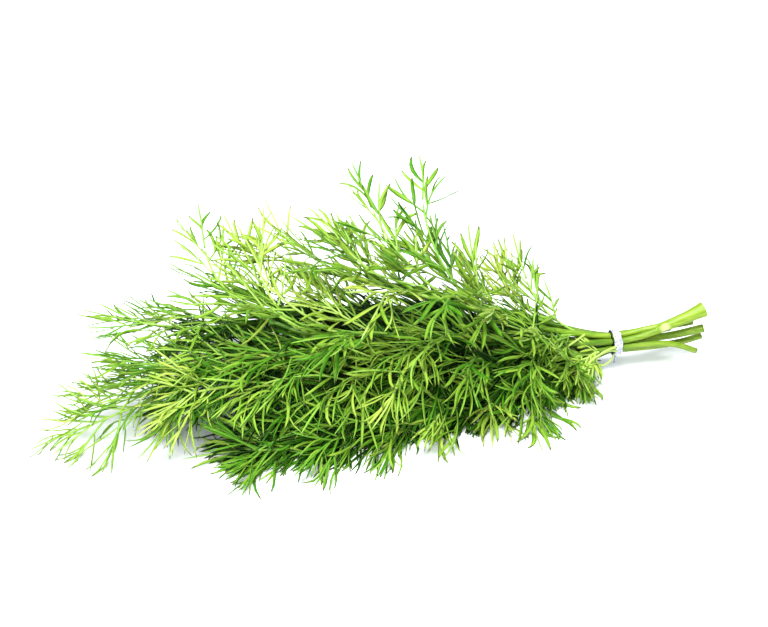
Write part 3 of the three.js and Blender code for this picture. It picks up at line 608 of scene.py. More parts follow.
# %% The fourth sprig, low at the front
SPRIGS["sprig_4"] = {
    "tone": 0.56,
    "stems": [
        {"slot": 3, "flare": 0, "cut": [(165, 2.6, 9.8), (152, 0.6, 9), (138, -1.4, 9.8)],
         "run": [(98, -6, 7.6), (75, -14, 3.2), (50, -22, 1.05), (20, -29, 0.98), (-12, -34, 0.9),
                 (-36, -38, 2), (-56, -42, 4)],
         "fronds": [
             (104, (82, -35, 5), 2, 26), (84, (62, -66, 0.4), 6, 36), (62, (38, -60, 6), 8, 36),
             (40, (6, -67, 2), 6, 39), (14, (-24, -70, 3), 6, 39), (-14, (-62, -68, 3), 4, 36),
             (-55, (-104, -54, 2), 2, 36)],
         "inner": [
             (70, (34, -6, 5), 3, 28), (36, (-6, -10, 5), 3, 28), (0, (-44, -14, 5), 3, 28),
             (-34, (-82, -22, 5), 3, 28), (88, (58, -26, 5), 2, 28), (54, (16, -40, 6), 2, 28),
             (16, (-24, -42, 6), 2, 28), (-20, (-62, -46, 6), 2, 28), (104, (80, -22, 2), 0, 22),
             (100, (70, -34, 2), 0, 22), (-38, (-98, -14, 3), 0, 33), (-50, (-94, -26, 3), 0, 28)],
         "outer": [
             (108, (90, -34, 3), 0, 22), (-24, (-106, -40, 3), 1, 42)]}]}
tell_fronds("sprig_4")

# %% The fifth sprig, high at the back
SPRIGS["sprig_5"] = {
    "tone": 0.7,
    "stems": [
        {"slot": 6, "cut": [(160.4, 5.2, 17.9), (148, 4.5, 17.2), (134, 3.4, 16.6)],
         "run": [(98, 6, 20), (75, 12, 27), (50, 19, 34), (22, 27, 41), (-8, 34, 47), (-32, 42, 52)],
         "fronds": [
             (82, (64, 54, 44), 6, 34), (52, (24, 70, 62), 6, 36), (20, (-22, 76, 60), 6, 36),
             (-31, (-66, 72, 60), 2, 36)]}]}
tell_fronds("sprig_5")

# %% The sixth sprig, at the back
SPRIGS["sprig_6"] = {
    "tone": 0.52,
    "stems": [
        {"slot": 5, "cut": [(150, 8.6, 13.4), (136, 5.4, 13.4)],
         "run": [(98, 7, 13.5), (75, 13, 16), (50, 20, 20), (22, 25, 24), (-10, 28, 28),
                 (-42, 24, 33), (-68, 18, 38), (-90, 12, 42)],
         "fronds": [
             (72, (48, 62, 26), 6, 36), (42, (6, 72, 34), 6, 39), (8, (-38, 74, 38), 6, 39),
             (-32, (-86, 58, 44), 6, 36), (-66, (-128, 26, 36), 4, 34),
             (-89, (-146, 34, 46), 2, 34)],
         "inner": [
             (78, (34, 42, 12), 2, 28), (40, (-10, 48, 14), 2, 31), (4, (-50, 46, 16), 2, 31),
             (-30, (-88, 34, 20), 2, 31), (-60, (-116, 18, 26), 2, 28), (56, (16, 12, 40), 4, 28),
             (-10, (-56, 8, 44), 4, 28)]}]}
tell_fronds("sprig_6")

# %% The seventh sprig, low at the back
SPRIGS["sprig_7"] = {
    "tone": 0.38,
    "stems": [
        {"slot": 4, "cut": [(142, 3.6, 10.2), (134, 2.6, 10.3)],
         "run": [(98, 6, 7.6), (75, 14, 3.2), (50, 24, 1.05), (20, 32, 0.98), (-12, 38, 0.9),
                 (-40, 42, 2.6), (-62, 44, 6)],
         "fronds": [
             (94, (80, 50, 0.4), 3, 31), (66, (36, 70, 6), 6, 36), (34, (-6, 78, 10), 8, 39),
             (2, (-48, 78, 12), 8, 39), (-24, (-86, 72, 8), 6, 36), (-61, (-116, 48, 6), 2, 36)],
         "inner": [
             (68, (26, 16, 5), 3, 28), (32, (-12, 16, 5), 3, 28), (-6, (-52, 20, 5), 3, 28),
             (-38, (-88, 28, 6), 3, 28)]}]}
tell_fronds("sprig_7")

# %% [markdown]
# A stem's curve has to pass through every point given for it. A Bezier curve needs two handles
# for each point. A Catmull-Rom curve makes its own handles, each a sixth of the way between the
# neighbours of a point, which is why it's used here. Most stems are thickest at their cut end, and
# all thin towards their last frond.

# %% The curve through a stem's points
STEM_RING = 4.05        # from the tie's middle to the stems that ring it
STEM_SLOTS = 7
STEM_STRAIGHT = 4       # how far to each side of the tie a stem is straight
HALVING_ENDS = 1e-8     # how closely a place on a curve is found, in stations


def stem_points(stem):
    """The points that a stem's curve passes through, from its cut end."""
    y, z = 0, TIE_HEIGHT
    if stem["slot"] is not None:
        angle = math.radians(90 + stem["slot"] * 360 / STEM_SLOTS)
        y, z = STEM_RING * math.cos(angle), TIE_HEIGHT + STEM_RING * math.sin(angle)
    straight = [(TIE_X + STEM_STRAIGHT, y, z), (TIE_X - STEM_STRAIGHT, y, z)]
    return [Vector(point) for point in [*stem["cut"], *straight, *stem["run"]]]


def curve_point(points, station):
    """A place on the smooth curve through some points. The station counts them from 0."""
    i = min(int(station), len(points) - 2)
    t = station - i
    start, end = points[i], points[i + 1]
    before = points[i - 1] if i else 2 * start - end
    after = points[i + 2] if i + 2 < len(points) else 2 * end - start
    leave, arrive = start + (end - before) / 6, end - (after - start) / 6
    return (start * (1 - t) ** 3 + leave * (3 * t * (1 - t) ** 2)
            + arrive * (3 * t * t * (1 - t)) + end * t ** 3)


def station_at(points, x):
    """Where along its curve a stem passes a given X, found by halving."""
    low, high = 0, len(points) - 1
    while high - low > HALVING_ENDS:
        middle = (low + high) / 2
        if curve_point(points, middle).x > x:
            low = middle
        else:
            high = middle
    return low


longest = stem_points(SPRIGS["sprig_3"]["stems"][0])
print("the longest stem is at the tie at station", round(station_at(longest, TIE_X), 2))

# %% The thickness of a stem
STEM_RADIUS = 1.6       # at the tie
STEM_THIN = 0.62        # share of it that is left at the last frond
STEM_FLARE = 0.35       # share that is added at the cut end
FLARE_LENGTH = 45       # from the tie to where all of that is added


def stem_radius(x, end, flare=STEM_FLARE):
    """Wide at the cut end, full at the tie, thin where the last frond begins."""
    if x < TIE_X:
        return STEM_RADIUS * (1 + (STEM_THIN - 1) * (TIE_X - x) / (TIE_X - end))
    return STEM_RADIUS * (1 + flare * min((x - TIE_X) / FLARE_LENGTH, 1) ** 2)


print("stem radius:", [round(stem_radius(x, -120), 2) for x in (160, TIE_X, 0, -120)], "mm")

# %% [markdown]
# A frond leaves near the stem's own direction, then bends towards its tip. Its middle rib is a
# curve with one knee, which is the least that can show both. Such a rib has three handles: its
# root on the stem, its knee and its end.

# %% The curve of a middle rib
LEAVE = 0.3             # how much of the tip's direction is in the way a rib leaves its stem
KNEE = 0.36             # how far along the way to the tip the knee is
END_SPAN = 0.92         # length of the fan at a rib's end, as a share of the frond's span
END_SHIFT = 0.6         # how much of its knee's shift a rib's end takes
LOWEST_END = 0.5        # above the surface
STATION_STEP = 1e-3     # to each side of a place, to measure a stem's direction there


def rib_curve(points, frond, shift):
    """The three handles of a middle rib: its root on the stem, its knee and its end."""
    x, tip, lift, span = frond
    station = station_at(points, x)
    root = curve_point(points, station)
    ahead = (curve_point(points, station + STATION_STEP)
             - curve_point(points, station - STATION_STEP)).normalized()
    to_tip = Vector(tip) - root
    away = (ahead * (1 - LEAVE) + to_tip.normalized() * LEAVE).normalized()
    knee = root + away * (KNEE * to_tip.length) + UP * lift + shift
    end = Vector(tip) - (Vector(tip) - knee).normalized() * (END_SPAN * span) + shift * END_SHIFT
    end.z = max(end.z, LOWEST_END)
    return root, knee, end


def rib_point(curve, u):
    """A place on a middle rib. It runs from 0 at the root to 1 at the end."""
    root, knee, end = curve
    return root * (1 - u) ** 2 + knee * (2 * u * (1 - u)) + end * u ** 2


def rib_direction(curve, u):
    """The direction of a middle rib at such a place."""
    root, knee, end = curve
    return ((knee - root) * (1 - u) + (end - knee) * u).normalized()


first_rib = rib_curve(longest, SPRIGS["sprig_3"]["stems"][0]["fronds"][0], Vector())
print("the longest stem's first rib ends at", [round(value, 1) for value in first_rib[2]], "mm")

# %% [markdown]
# Leaves that crowd make room for each other. So a frond that would cross others is moved: its
# knee is tried a little further round each time, until the rib stands clear of every stem and rib
# placed before it. Moving them by eye could do as well, but the solids' ribs were moved by this
# same rule, and the two have to agree.

# %% Keeping clear of what is placed
RACHIS_WIDTH = (1.7, 1.1)       # of a middle rib at its root and at its end
RACHIS_STEPS = 6
CLEAR, APART = 0.15, 0.7        # room to the same sprig's parts and to the other sprigs'
KNEE_REACHES, KNEE_WAYS = (2.5, 5, 7.5, 10, 13), 8
placed = {"a": [], "b": [], "radius": [], "sprig": [], "frond": []}


def note_path(points, radii, sprig, frond=None):
    """Notes a path as straight lengths that later ribs keep clear of."""
    for i in range(len(points) - 1):
        placed["a"].append(points[i])
        placed["b"].append(points[i + 1])
        placed["radius"].append(max(radii[i], radii[i + 1]))
        placed["sprig"].append(sprig)
        placed["frond"].append(frond)


def gaps(a, b, starts, ends):
    """The shortest distances between the length a to b and many others."""
    u, v, w = b - a, ends - starts, a - starts
    uu, vv, uv = u @ u, (v * v).sum(1), v @ u
    uw, vw = w @ u, (v * w).sum(1)
    spread = uu * vv - uv * uv
    first = np.clip(np.where(spread > TINY, (uv * vw - vv * uw) / np.maximum(spread, TINY), 0), 0, 1)
    t = np.clip((uv * first + vw) / vv, 0, 1)
    s = np.clip((uv * t - uw) / uu, 0, 1)
    return np.linalg.norm(a + s[:, None] * u - starts - t[:, None] * v, axis=1)


def stands_clear(points, radii, sprig):
    """Whether a new middle rib keeps its distance from everything placed so far."""
    starts, ends = np.array(placed["a"]), np.array(placed["b"])
    same = np.array([other == sprig for other in placed["sprig"]])
    stems = np.array([other is None for other in placed["frond"]])
    room = np.array(placed["radius"]) + np.where(same, CLEAR, APART)
    for i in range(len(points) - 1):
        kept = room + max(radii[i], radii[i + 1])
        near = gaps(np.array(points[i]), np.array(points[i + 1]), starts, ends) < kept
        if i == 0:
            near &= ~(same & stems)
        if near.any():
            return False
    return True


KNEE_SHIFTS = [Vector()] + [Vector((0, size * math.cos(k * math.tau / KNEE_WAYS),
                                    size * math.sin(k * math.tau / KNEE_WAYS)))
                            for size in KNEE_REACHES for k in range(KNEE_WAYS)]
print("places to try for a knee:", len(KNEE_SHIFTS))

# %% Lay out the stems and the fronds of the solids
BASE_RADII = [3.4, 3.2, 2.9, 2.1]       # room that the broad base takes up
stems, fronds = [], []
for name, sprig in SPRIGS.items():
    if "base" in sprig:
        note_path([Vector(point) for point in sprig["base"]], BASE_RADII, name)
for number, (name, sprig) in enumerate(SPRIGS.items(), 1):
    for k, stem in enumerate(sprig["stems"]):
        points = stem_points(stem)
        radii = [stem_radius(point.x, points[-1].x) for point in points]
        note_path(points, radii, name)
        stems.append({"sprig": name, "points": points, "fronds": stem["fronds"],
                      "flare": stem.get("flare", STEM_FLARE)})
        for f, frond in enumerate(stem["fronds"]):
            fronds.append({"sprig": name, "points": points, "frond": frond, "tone": sprig["tone"],
                           "inner": False, "seed": 1000 * number + 100 * k + f})
print(len(stems), "stems and", len(fronds), "fronds of the solids")

# %% Add the inner and the outer fronds
# The inner fronds' lower tone is painted shade, for the shade inside the bunch.
MORE_SORTS = {"inner": (-0.47, 500), "outer": (0, 600)}     # change of tone, and first seed
more_fronds = [
    {"sprig": name, "points": stem_points(stem), "frond": frond, "tone": sprig["tone"] + tone,
     "inner": sort == "inner", "seed": 1000 * number + seed + f}
    for number, (name, sprig) in enumerate(SPRIGS.items(), 1) for stem in sprig["stems"]
    for sort, (tone, seed) in MORE_SORTS.items()
    for f, frond in enumerate(stem.get(sort, []))]
print(len(more_fronds), "inner and outer fronds")

# %% [markdown]
# Far inside, more fronds lie close along the stems, too many to place one by one. They stand by
# rule: one for every so much of a stem, each drawn to a place beside the stem, and mostly under
# it where the stem is high. Their low tone is painted shade. Without them the white surface would
# show through the bunch.

# %% Fill the inside with fronds in painted shade
FILLERS = {"sprig_2": 9, "sprig_3": 10, "sprig_4": 9, "sprig_6": 6, "sprig_7": 5}
FILL_FROM, FILL_TO = 92, -50            # along X
FILL_REACH, FILL_SPAN = 44, 29          # from root to tip along X, and the span of side ribs
FILL_ASIDE = (-17, 11)                  # the tip's place beside the stem
FILL_LOWEST, FILL_HIGHEST = 2, 4        # the tip's height by a stem on the surface
FILL_RISE = 0.7                         # how much the second of them grows for each mm of stem height
# The filling fronds' tone is lowered as painted shade.
FILL_SHADE_TONE, FILL_SEED, FILL_SEED_STEP = -0.53, 700, 20
litter = random.Random(11)
for stem in stems:
    points = stem["points"]
    count = FILLERS.get(stem["sprig"], 0)
    for f in range(count):
        x = FILL_FROM + (max(points[-1].x, FILL_TO) - FILL_FROM) * f / count
        root = curve_point(points, station_at(points, x))
        tip = (x - FILL_REACH, root.y + litter.uniform(*FILL_ASIDE),
               litter.uniform(FILL_LOWEST, FILL_HIGHEST + FILL_RISE * root.z))
        more_fronds.append({"sprig": stem["sprig"], "points": points, "frond": (x, tip, 0, FILL_SPAN),
                            "tone": SPRIGS[stem["sprig"]]["tone"] + FILL_SHADE_TONE, "inner": True,
                            "seed": FILL_SEED + FILL_SEED_STEP * len(more_fronds)})
print(sum(FILLERS.values()), "fronds fill the inside")

# %% Bend every middle rib
moved = 0
for item in fronds:
    for shift in KNEE_SHIFTS:
        curve = rib_curve(item["points"], item["frond"], shift)
        line = [rib_point(curve, i / RACHIS_STEPS) for i in range(RACHIS_STEPS + 1)]
        widths = [(RACHIS_WIDTH[0] + (RACHIS_WIDTH[1] - RACHIS_WIDTH[0]) * i / RACHIS_STEPS) / 2
                  for i in range(RACHIS_STEPS + 1)]
        if stands_clear(line, widths, item["sprig"]):
            break
    note_path(line, widths, item["sprig"], item["seed"])
    moved += shift.length > 0
    item["curve"] = curve
for item in more_fronds:
    item["curve"] = rib_curve(item["points"], item["frond"], Vector())
print(moved, "of", len(fronds), "middle ribs moved to stand clear")

# %% [markdown]
# The face of a frond looks away from the middle of the bunch, and a little more upwards, as
# leaves turn to the light. Threads are finer where the stems are young, at the far end of the
# bunch, and beside the tie. The high fronds stand free, with fewer and broader threads.

# %% Turn the fronds and set the breadth of their threads
FACE_OUT, FACE_UP = 0.5, 0.8
HIGH, HIGH_BREADTH = 42, 1.25
# Places along X, and half a thread's width there.
THREAD_BREADTH = ([-140, -60, 70, 95], [0.52, 0.66, 0.92, 0.72])
for item in fronds + more_fronds:
    middle = rib_point(item["curve"], 0.5)
    out = Vector((0, middle.y, middle.z - TIE_HEIGHT)).normalized()
    item["face"] = (out * FACE_OUT + UP * FACE_UP).normalized()
    item["high"] = middle.z > HIGH
    item["breadth"] = float(np.interp(middle.x, *THREAD_BREADTH))
    if item["high"]:
        item["breadth"] *= HIGH_BREADTH
print(sum(item["high"] for item in fronds + more_fronds), "fronds stand high")

# %% [markdown]
# A frond is a feather of feathers. Pairs of side ribs stand on the middle rib, and each carries
# a fan of threads, some of them forked. A particle system could scatter threads too, but it knows
# no pairs and no forks. The solids have three pairs and a fan at the end, with plain blades. The
# same draws are made here, in the same order, so that each blade of theirs has its thread here.
# Forks, side threads and smaller fans come from draws of their own.

# %% Draws that can be repeated
MASK = 0xFFFFFFFF


def repeatable(seed):
    """An endless run of random numbers from 0 to 1, the same for the same seed."""
    state = seed
    while True:
        state = (state + 0x6D2B79F5) & MASK
        t = ((state ^ (state >> 15)) * (1 | state)) & MASK
        t = ((t + (((t ^ (t >> 7)) * (61 | t)) & MASK)) & MASK) ^ t
        yield ((t ^ (t >> 14)) & MASK) / (MASK + 1)


def stray(draw, spread):
    """A random number between minus and plus half a spread."""
    return spread * (next(draw) - 0.5)


shown = repeatable(1000)
print("the first draws of seed 1000:", [round(next(shown), 3) for _ in range(3)])

# %% The plan of a fan
# Each blade of a fan: its foot along the rib, its hand, its angle, and its length. The foot and
# the length are shares of the rib's length.
FANS = {
    3: [(0.26, 1, 25, 0.7), (0.32, -1, 23, 0.66)],
    4: [(0.2, 1, 30, 0.7), (0.28, -1, 26, 0.68), (0.42, 1, 15, 0.56)],
    5: [(0.18, 1, 30, 0.68), (0.18, -1, 30, 0.68), (0.36, 1, 15, 0.6), (0.36, -1, 15, 0.6)],
}
BLADE_TURN_STRAY, BLADE_REACH_STRAY = 10, 0.24
FAN_ARCH = 0.2          # the range of a fan's bow, as a share of its length
ARCH_UP = 0.15          # how far that range is moved upwards, as a share of it
BLADE_ARCH = 0.16       # the range of a blade's tip across the plane, as a share of the blade
LIE = 0.4               # lowest line of a thread above the surface


def fan_plan(size, length, draw):
    """A fan in its own plane: for each blade its foot along the rib, its tip, and its height."""
    blades = []
    for at, hand, angle, share in FANS[size]:
        turn = math.radians(angle + stray(draw, BLADE_TURN_STRAY))
        reach = length * share * (1 + stray(draw, BLADE_REACH_STRAY))
        x, y = at * length + reach * math.cos(turn), hand * reach * math.sin(turn)
        blades.append((at * length, x, y, BLADE_ARCH * stray(draw, reach)))
    bow = FAN_ARCH * (length * ARCH_UP + stray(draw, length))
    return {"length": length, "blades": blades, "bow": bow}


def fan_place(plan, axes, x, y=0, z=0):
    """A point of the fan's plane in the drawing. The fan bows as it goes, and lies on the surface."""
    root, along, across, top = axes
    at = root + along * x + across * y + top * (z + plan["bow"] * (x / plan["length"]) ** 2)
    at.z = max(at.z, LIE)
    return at


def fan_axes(item, u, hand, angle, tilt):
    """Where a fan's rib leaves the middle rib, and the three directions of its plane."""
    ahead = rib_direction(item["curve"], u)
    normal = (item["face"] - ahead * ahead.dot(item["face"])).normalized()
    out = normal.cross(ahead) * (hand * math.cos(tilt)) + normal * math.sin(tilt)
    along = ahead * math.cos(angle) + out * math.sin(angle)
    across = ahead * math.sin(angle) - out * math.cos(angle)
    return rib_point(item["curve"], u), along, across, along.cross(across) * -hand


print("a fan of size 4 has", len(fan_plan(4, 30, shown)["blades"]), "blades")

# %% [markdown]
# One thread bows a little from foot to tip. Some have a fork, which leaves near their own plane
# before their middle, and is narrower and shorter. Threads near the tie were pressed by handling,
# so they curl more. Every thread has its own bend and breadth, because copies of one thread would
# show as a pattern.

# %% Growing a thread
# Pairs are the mean and the spread of a draw, or its least and most where the name ends in RANGE.
CURL_ACROSS, CURL_UP = (0, 0.55), (0.15, 0.4)
HOOK_ACROSS, HOOK_UP = (0, 0.3), (0, 0.2)
THREAD_ROLL, THREAD_TWIST = (0, 0.5), (0, 0.7)
THREAD_TONE, DROOP, FORK_RISE = (0, 0.1), (0.12, 0.1), (0, 0.14)
WIDTH_RANGE, FORK_AT_RANGE = (0.75, 1.15), (0.12, 0.42)
FORK_TURN_RANGE, FORK_SHARE_RANGE = (11, 21), (0.62, 0.92)
THREAD_DEPTH, FORK_WIDTH = 0.42, 0.85
LOOSE = ([55, 90], [1, 1.7])        # X, and how much more threads curl there
HEADING_STEP = 0.01
chance = random.Random(7)
strands = {name: {kind: [] for kind in TAPERS} for name in SPRIGS}


def grow_thread(sprig, foot, tip, face, tone, forked, width):
    """Adds a thread between two points, and the fork that may leave it."""
    way = tip - foot
    length = way.length
    across = face.cross(way).normalized()
    loose = float(np.interp(foot.x, *LOOSE))
    curl = (across * chance.gauss(*CURL_ACROSS) + face * chance.gauss(*CURL_UP)) * loose
    hook = (across * chance.gauss(*HOOK_ACROSS) + face * chance.gauss(*HOOK_UP)) * (length * loose)
    droop = max(chance.gauss(*DROOP), 0)

    def at(t):
        bowed = foot + way * t + curl * (length * (t * t - t) / 2) + hook * (t ** 3 - t * t)
        return bowed - UP * (droop * length * t * t)

    line = [at(t) for t, _ in TAPERS["thread"]]
    for point in line:
        point.z = max(point.z, LIE)
    strands[sprig]["thread"].append({
        "line": line, "face": face, "roll": chance.gauss(*THREAD_ROLL),
        "twist": chance.gauss(*THREAD_TWIST), "width": width * chance.uniform(*WIDTH_RANGE),
        "depth": THREAD_DEPTH, "tone": tone + chance.gauss(*THREAD_TONE)})
    hand = chance.choice((-1, 1))
    if forked:
        s = chance.uniform(*FORK_AT_RANGE)
        heading = (at(s + HEADING_STEP) - at(s - HEADING_STEP)).normalized()
        turn = math.radians(chance.uniform(*FORK_TURN_RANGE)) * hand
        side = face.cross(heading).normalized()
        heading = heading * math.cos(turn) + side * math.sin(turn) + face * chance.gauss(*FORK_RISE)
        start = at(s)
        grow_thread(sprig, start, start + heading * (length * chance.uniform(*FORK_SHARE_RANGE)), face,
                    tone, False, width * FORK_WIDTH)


print("threads beside the tie curl", LOOSE[1][-1], "times as much as the others")

# %% [markdown]
# A fan is a side rib with its blades. The blades are those of the plan, and up to two side
# threads leave the rib about halfway, because a real fan is never as even as its plan. One mesh
# of a fan could be copied instead, but it couldn't follow the curves of the solids' blades.

# %% Growing a fan
FAN_SWAY, FAN_ROLL, FAN_TWIST = (0, 0.04), (0, 0.25), (0, 0.4)
RIB_OVER = 1.05                     # a rib ends a little beyond its fan
RIB_WIDTH, RIB_DEPTH = 0.62, 0.42
SIDE_FOOT_RANGE, SIDE_TURN_RANGE, SIDE_SHARE_RANGE = (0.36, 0.56), (9, 18), (0.42, 0.6)
SIDE_BREADTH = 0.9


def grow_fan(item, plan, axes, tone, size=1, hands=((-1,), (1,), (-1, 1))):
    """Adds a fan: its rib, its blades with their forks, and side threads on the given hands."""
    sprig, top = item["sprig"], axes[3]
    length = plan["length"]
    sway = length * chance.gauss(*FAN_SWAY)
    line = [fan_place(plan, axes, t * length * RIB_OVER, sway * math.sin(math.pi * t))
            for t, _ in TAPERS["rib"]]
    strands[sprig]["rib"].append({
        "line": line, "face": top, "roll": chance.gauss(*FAN_ROLL), "twist": chance.gauss(*FAN_TWIST),
        "width": RIB_WIDTH * size, "depth": RIB_DEPTH * size, "tone": tone})
    for foot, x, y, z in plan["blades"]:
        start = fan_place(plan, axes, foot, sway * math.sin(math.pi * foot / length))
        forked = not item["high"] and chance.choice((False, False, True))
        grow_thread(sprig, start, fan_place(plan, axes, x, y, z), top, tone, forked, item["breadth"])
    for hand in chance.choice(hands):
        foot = length * chance.uniform(*SIDE_FOOT_RANGE)
        turn = math.radians(chance.uniform(*SIDE_TURN_RANGE))
        reach = length * chance.uniform(*SIDE_SHARE_RANGE)
        start = fan_place(plan, axes, foot, sway * math.sin(math.pi * foot / length))
        tip = fan_place(plan, axes, foot + reach * math.cos(turn), hand * reach * math.sin(turn))
        grow_thread(sprig, start, tip, top, tone, False, item["breadth"] * SIDE_BREADTH)


print("half the width of a side rib:", RIB_WIDTH, "mm")

# %% [markdown]
# A frond's fans start above a bare length of its middle rib, and get shorter and lean further
# forward towards its end. The fan at the end and the three pairs, which the solids have as well,
# come first. Smaller fans then stand below the pairs and, in the crowded inner fronds, between
# them as well. High fronds on the outside have none of those, so that light falls between their
# fans.

# %% Growing a frond
BARE, PAIRS_TO, STAGGER = 0.36, 0.86, 0.03      # places of the pairs on the rib, and of a pair's two fans
FAN_SIZES = [4, 4, 3]
FAN_ANGLE, FAN_LENGTH = (46, 27), (1, 0.8)      # of the lowest pair and of the highest
END_FAN, FAN_LEAN = 5, 4
# Smaller fans: place on the middle rib, angle, and length as a share of the span. Last, those below
# the pairs.
SMALLER = [(0.49, 32, 1), (0.7, 25, 0.95), (0.22, 38, 0.75)]
SMALLER_SIZE, SMALLER_RIB, SMALLER_SEED = 3, 0.85, 500000
PAIR_STRAY = {"place": 0.02, "angle": 12, "tilt": 52, "length": 0.28}
SMALLER_STRAY = {"place": 0.05, "angle": 16, "tilt": 70, "length": 0.3}
FROND_TONE, FAN_TONE = (0, 0.1), (0, 0.08)
MIDDLE_WIDTH, MIDDLE_DEPTH, MIDDLE_PALER = 0.78, 0.66, 0.1


def grow_frond(item):
    """Adds a frond's middle rib and all its fans."""
    span = item["frond"][3]
    tone = item["tone"] + chance.gauss(*FROND_TONE)
    line = [rib_point(item["curve"], u) for u, _ in TAPERS["middle"]]
    strands[item["sprig"]]["middle"].append({
        "line": line, "face": item["face"], "roll": 0, "twist": 0, "width": MIDDLE_WIDTH,
        "depth": MIDDLE_DEPTH, "tone": tone + MIDDLE_PALER})
    draw = repeatable(item["seed"])
    end = fan_plan(END_FAN, span * END_SPAN, draw)
    grow_fan(item, end, fan_axes(item, 1, 1, 0, 0), tone + chance.gauss(*FAN_TONE), hands=((),))
    for pair, size in enumerate(FAN_SIZES):
        share = pair / (len(FAN_SIZES) - 1)
        for hand in (1, -1):
            u = BARE + (PAIRS_TO - BARE) * share + STAGGER * hand + stray(draw, PAIR_STRAY["place"])
            angle = math.radians(FAN_ANGLE[0] + (FAN_ANGLE[1] - FAN_ANGLE[0]) * share
                                 + stray(draw, PAIR_STRAY["angle"]))
            tilt = math.radians(FAN_LEAN + stray(draw, PAIR_STRAY["tilt"]))
            length = span * (FAN_LENGTH[0] + (FAN_LENGTH[1] - FAN_LENGTH[0]) * share)
            plan = fan_plan(size, length * (1 + stray(draw, PAIR_STRAY["length"])), draw)
            grow_fan(item, plan, fan_axes(item, u, hand, angle, tilt), tone + chance.gauss(*FAN_TONE),
                     hands=((), (-1,), (1,)))

    own = repeatable(item["seed"] + SMALLER_SEED)
    smaller = SMALLER
    if not item["inner"]:
        smaller = [] if item["high"] else SMALLER[-1:]
    for u, angle, share in smaller:
        for hand in (1, -1):
            plan = fan_plan(SMALLER_SIZE, span * share * (1 + stray(own, SMALLER_STRAY["length"])), own)
            axes = fan_axes(item, u + stray(own, SMALLER_STRAY["place"]), hand,
                            math.radians(angle + stray(own, SMALLER_STRAY["angle"])),
                            math.radians(FAN_LEAN + stray(own, SMALLER_STRAY["tilt"])))
            grow_fan(item, plan, axes, tone + chance.gauss(*FAN_TONE), SMALLER_RIB)


for item in fronds + more_fronds:
    grow_frond(item)
for name in SPRIGS:
    print(name, {kind: len(made) for kind, made in strands[name].items() if made})

# %% [markdown]
# The stems use the same bending with a thickness that changes along them: it swells a little
# where each frond sheathes the stem. A plain tube would be simpler, but look like wire. Stems
# that lie low in the tie get a low `tone`, which is painted shade for the shade the others cast.

# %% The stems
NODE_SWELL, NODE_LENGTH = 0.22, 2.4
STEM_TWIST = 0.4
# A low tone here is painted shade, which the higher stems cast on the lower ones.
STEM_SHADE_TONES = ([-4, 2.6, 4], [0.3, 0.42, 0.7])       # height above the tie's middle, and the tone there


def stem_strand(points, thickness, tone, squash=1):
    """A stem along the curve through some points; its thickness is a function of X."""
    count = len(TAPERS["stem"])
    line = [curve_point(points, k / (count - 1) * (len(points) - 1)) for k in range(count)]
    width = np.array([thickness(point.x) for point in line])
    return {"line": line, "face": UP, "roll": 0, "twist": STEM_TWIST, "width": width,
            "depth": width * squash, "tone": tone}


for stem in stems:
    points = stem["points"]
    roots = [frond[0] for frond in stem["fronds"]]

    def thickness(x):
        """The radius of this stem with its swellings."""
        swell = sum(math.exp(-((x - root) / NODE_LENGTH) ** 2) for root in roots)
        return stem_radius(x, points[-1].x, stem["flare"]) * (1 + NODE_SWELL * min(swell, 1))

    height = curve_point(points, station_at(points, TIE_X)).z - TIE_HEIGHT
    tone = float(np.interp(height, *STEM_SHADE_TONES))
    strands[stem["sprig"]]["stem"].append(stem_strand(points, thickness, tone))
print("the last stem lies", round(height, 1), "mm from the tie's middle, with tone", round(tone, 2))

# %% [markdown]
# Two stems of the first sprig grow from one broad, deeply ribbed base, a little flatter than it
# is wide. A turned shape could be used, but would not have the ridges of the stems. So it is one
# more stem strand, laid over the start of both.

# %% The broad base
BASE_END = (138, -3, 20.7)
BASE_THICKNESS = [1.3, 2.5, 2.8, 3.2, 4.1]          # from its point to its cut end
BASE_TONE, BASE_SQUASH = 0.75, 0.95
base_points = [Vector(point) for point in SPRIGS["sprig_1"]["base"]]
base_points.append(Vector(BASE_END))
base_x = [point.x for point in base_points][::-1]


def base_thickness(x):
    """Half the width of the base at a place along X."""
    return float(np.interp(x, base_x, BASE_THICKNESS))


strands["sprig_1"]["stem"].append(stem_strand(base_points, base_thickness, BASE_TONE, BASE_SQUASH))
print("the base is", round(base_x[-1] - base_x[0], 1), "mm long")

# %% [markdown]
# Three bare leaf stalks show at the tie. One is doubled back and stands out as a narrow pale
# loop, one bends down in front, and one leaves the top stem and arches over the front. They are
# middle ribs without fans.

# %% The bare leaf stalks
STALK_RADIUS, STALK_TONE = 0.6, 0.95
STALKS = [
    [(117, -5.4, 14.6), (112.5, -9, 16.2), (107.5, -11, 15.6), (104.6, -11.8, 13), (105.5, -12, 10),
     (109, -11.4, 8.6), (113, -9.4, 9.6), (117, -5.2, 11.6)],
    [(117, -5.6, 12.6), (111, -9, 15), (103, -13, 14.6), (98, -15.5, 11), (95, -17, 6)],
    [(102, 0.5, 20.4), (96.5, -5, 21.5), (90, -10, 21.6), (83, -15, 20.4), (76, -19, 17)]]
for points in STALKS:
    path = [Vector(point) for point in points]
    line = [curve_point(path, u * (len(path) - 1)) for u, _ in TAPERS["middle"]]
    strands["sprig_2"]["middle"].append({"line": line, "face": UP, "roll": 0, "twist": 0,
                                         "width": STALK_RADIUS, "depth": STALK_RADIUS,
                                         "tone": STALK_TONE})
print(len(STALKS), "bare stalks")

# %% [markdown]
# The strands of a sprig are made in one go for each kind, and joined into one piece that stands
# for the solid of the same name. One mesh for each thread would fill the scene with thousands of
# objects. The foot of each stem strand is its cut face: it is inset and pushed in a little, so
# that a rim of green skin stands round the pale pith.

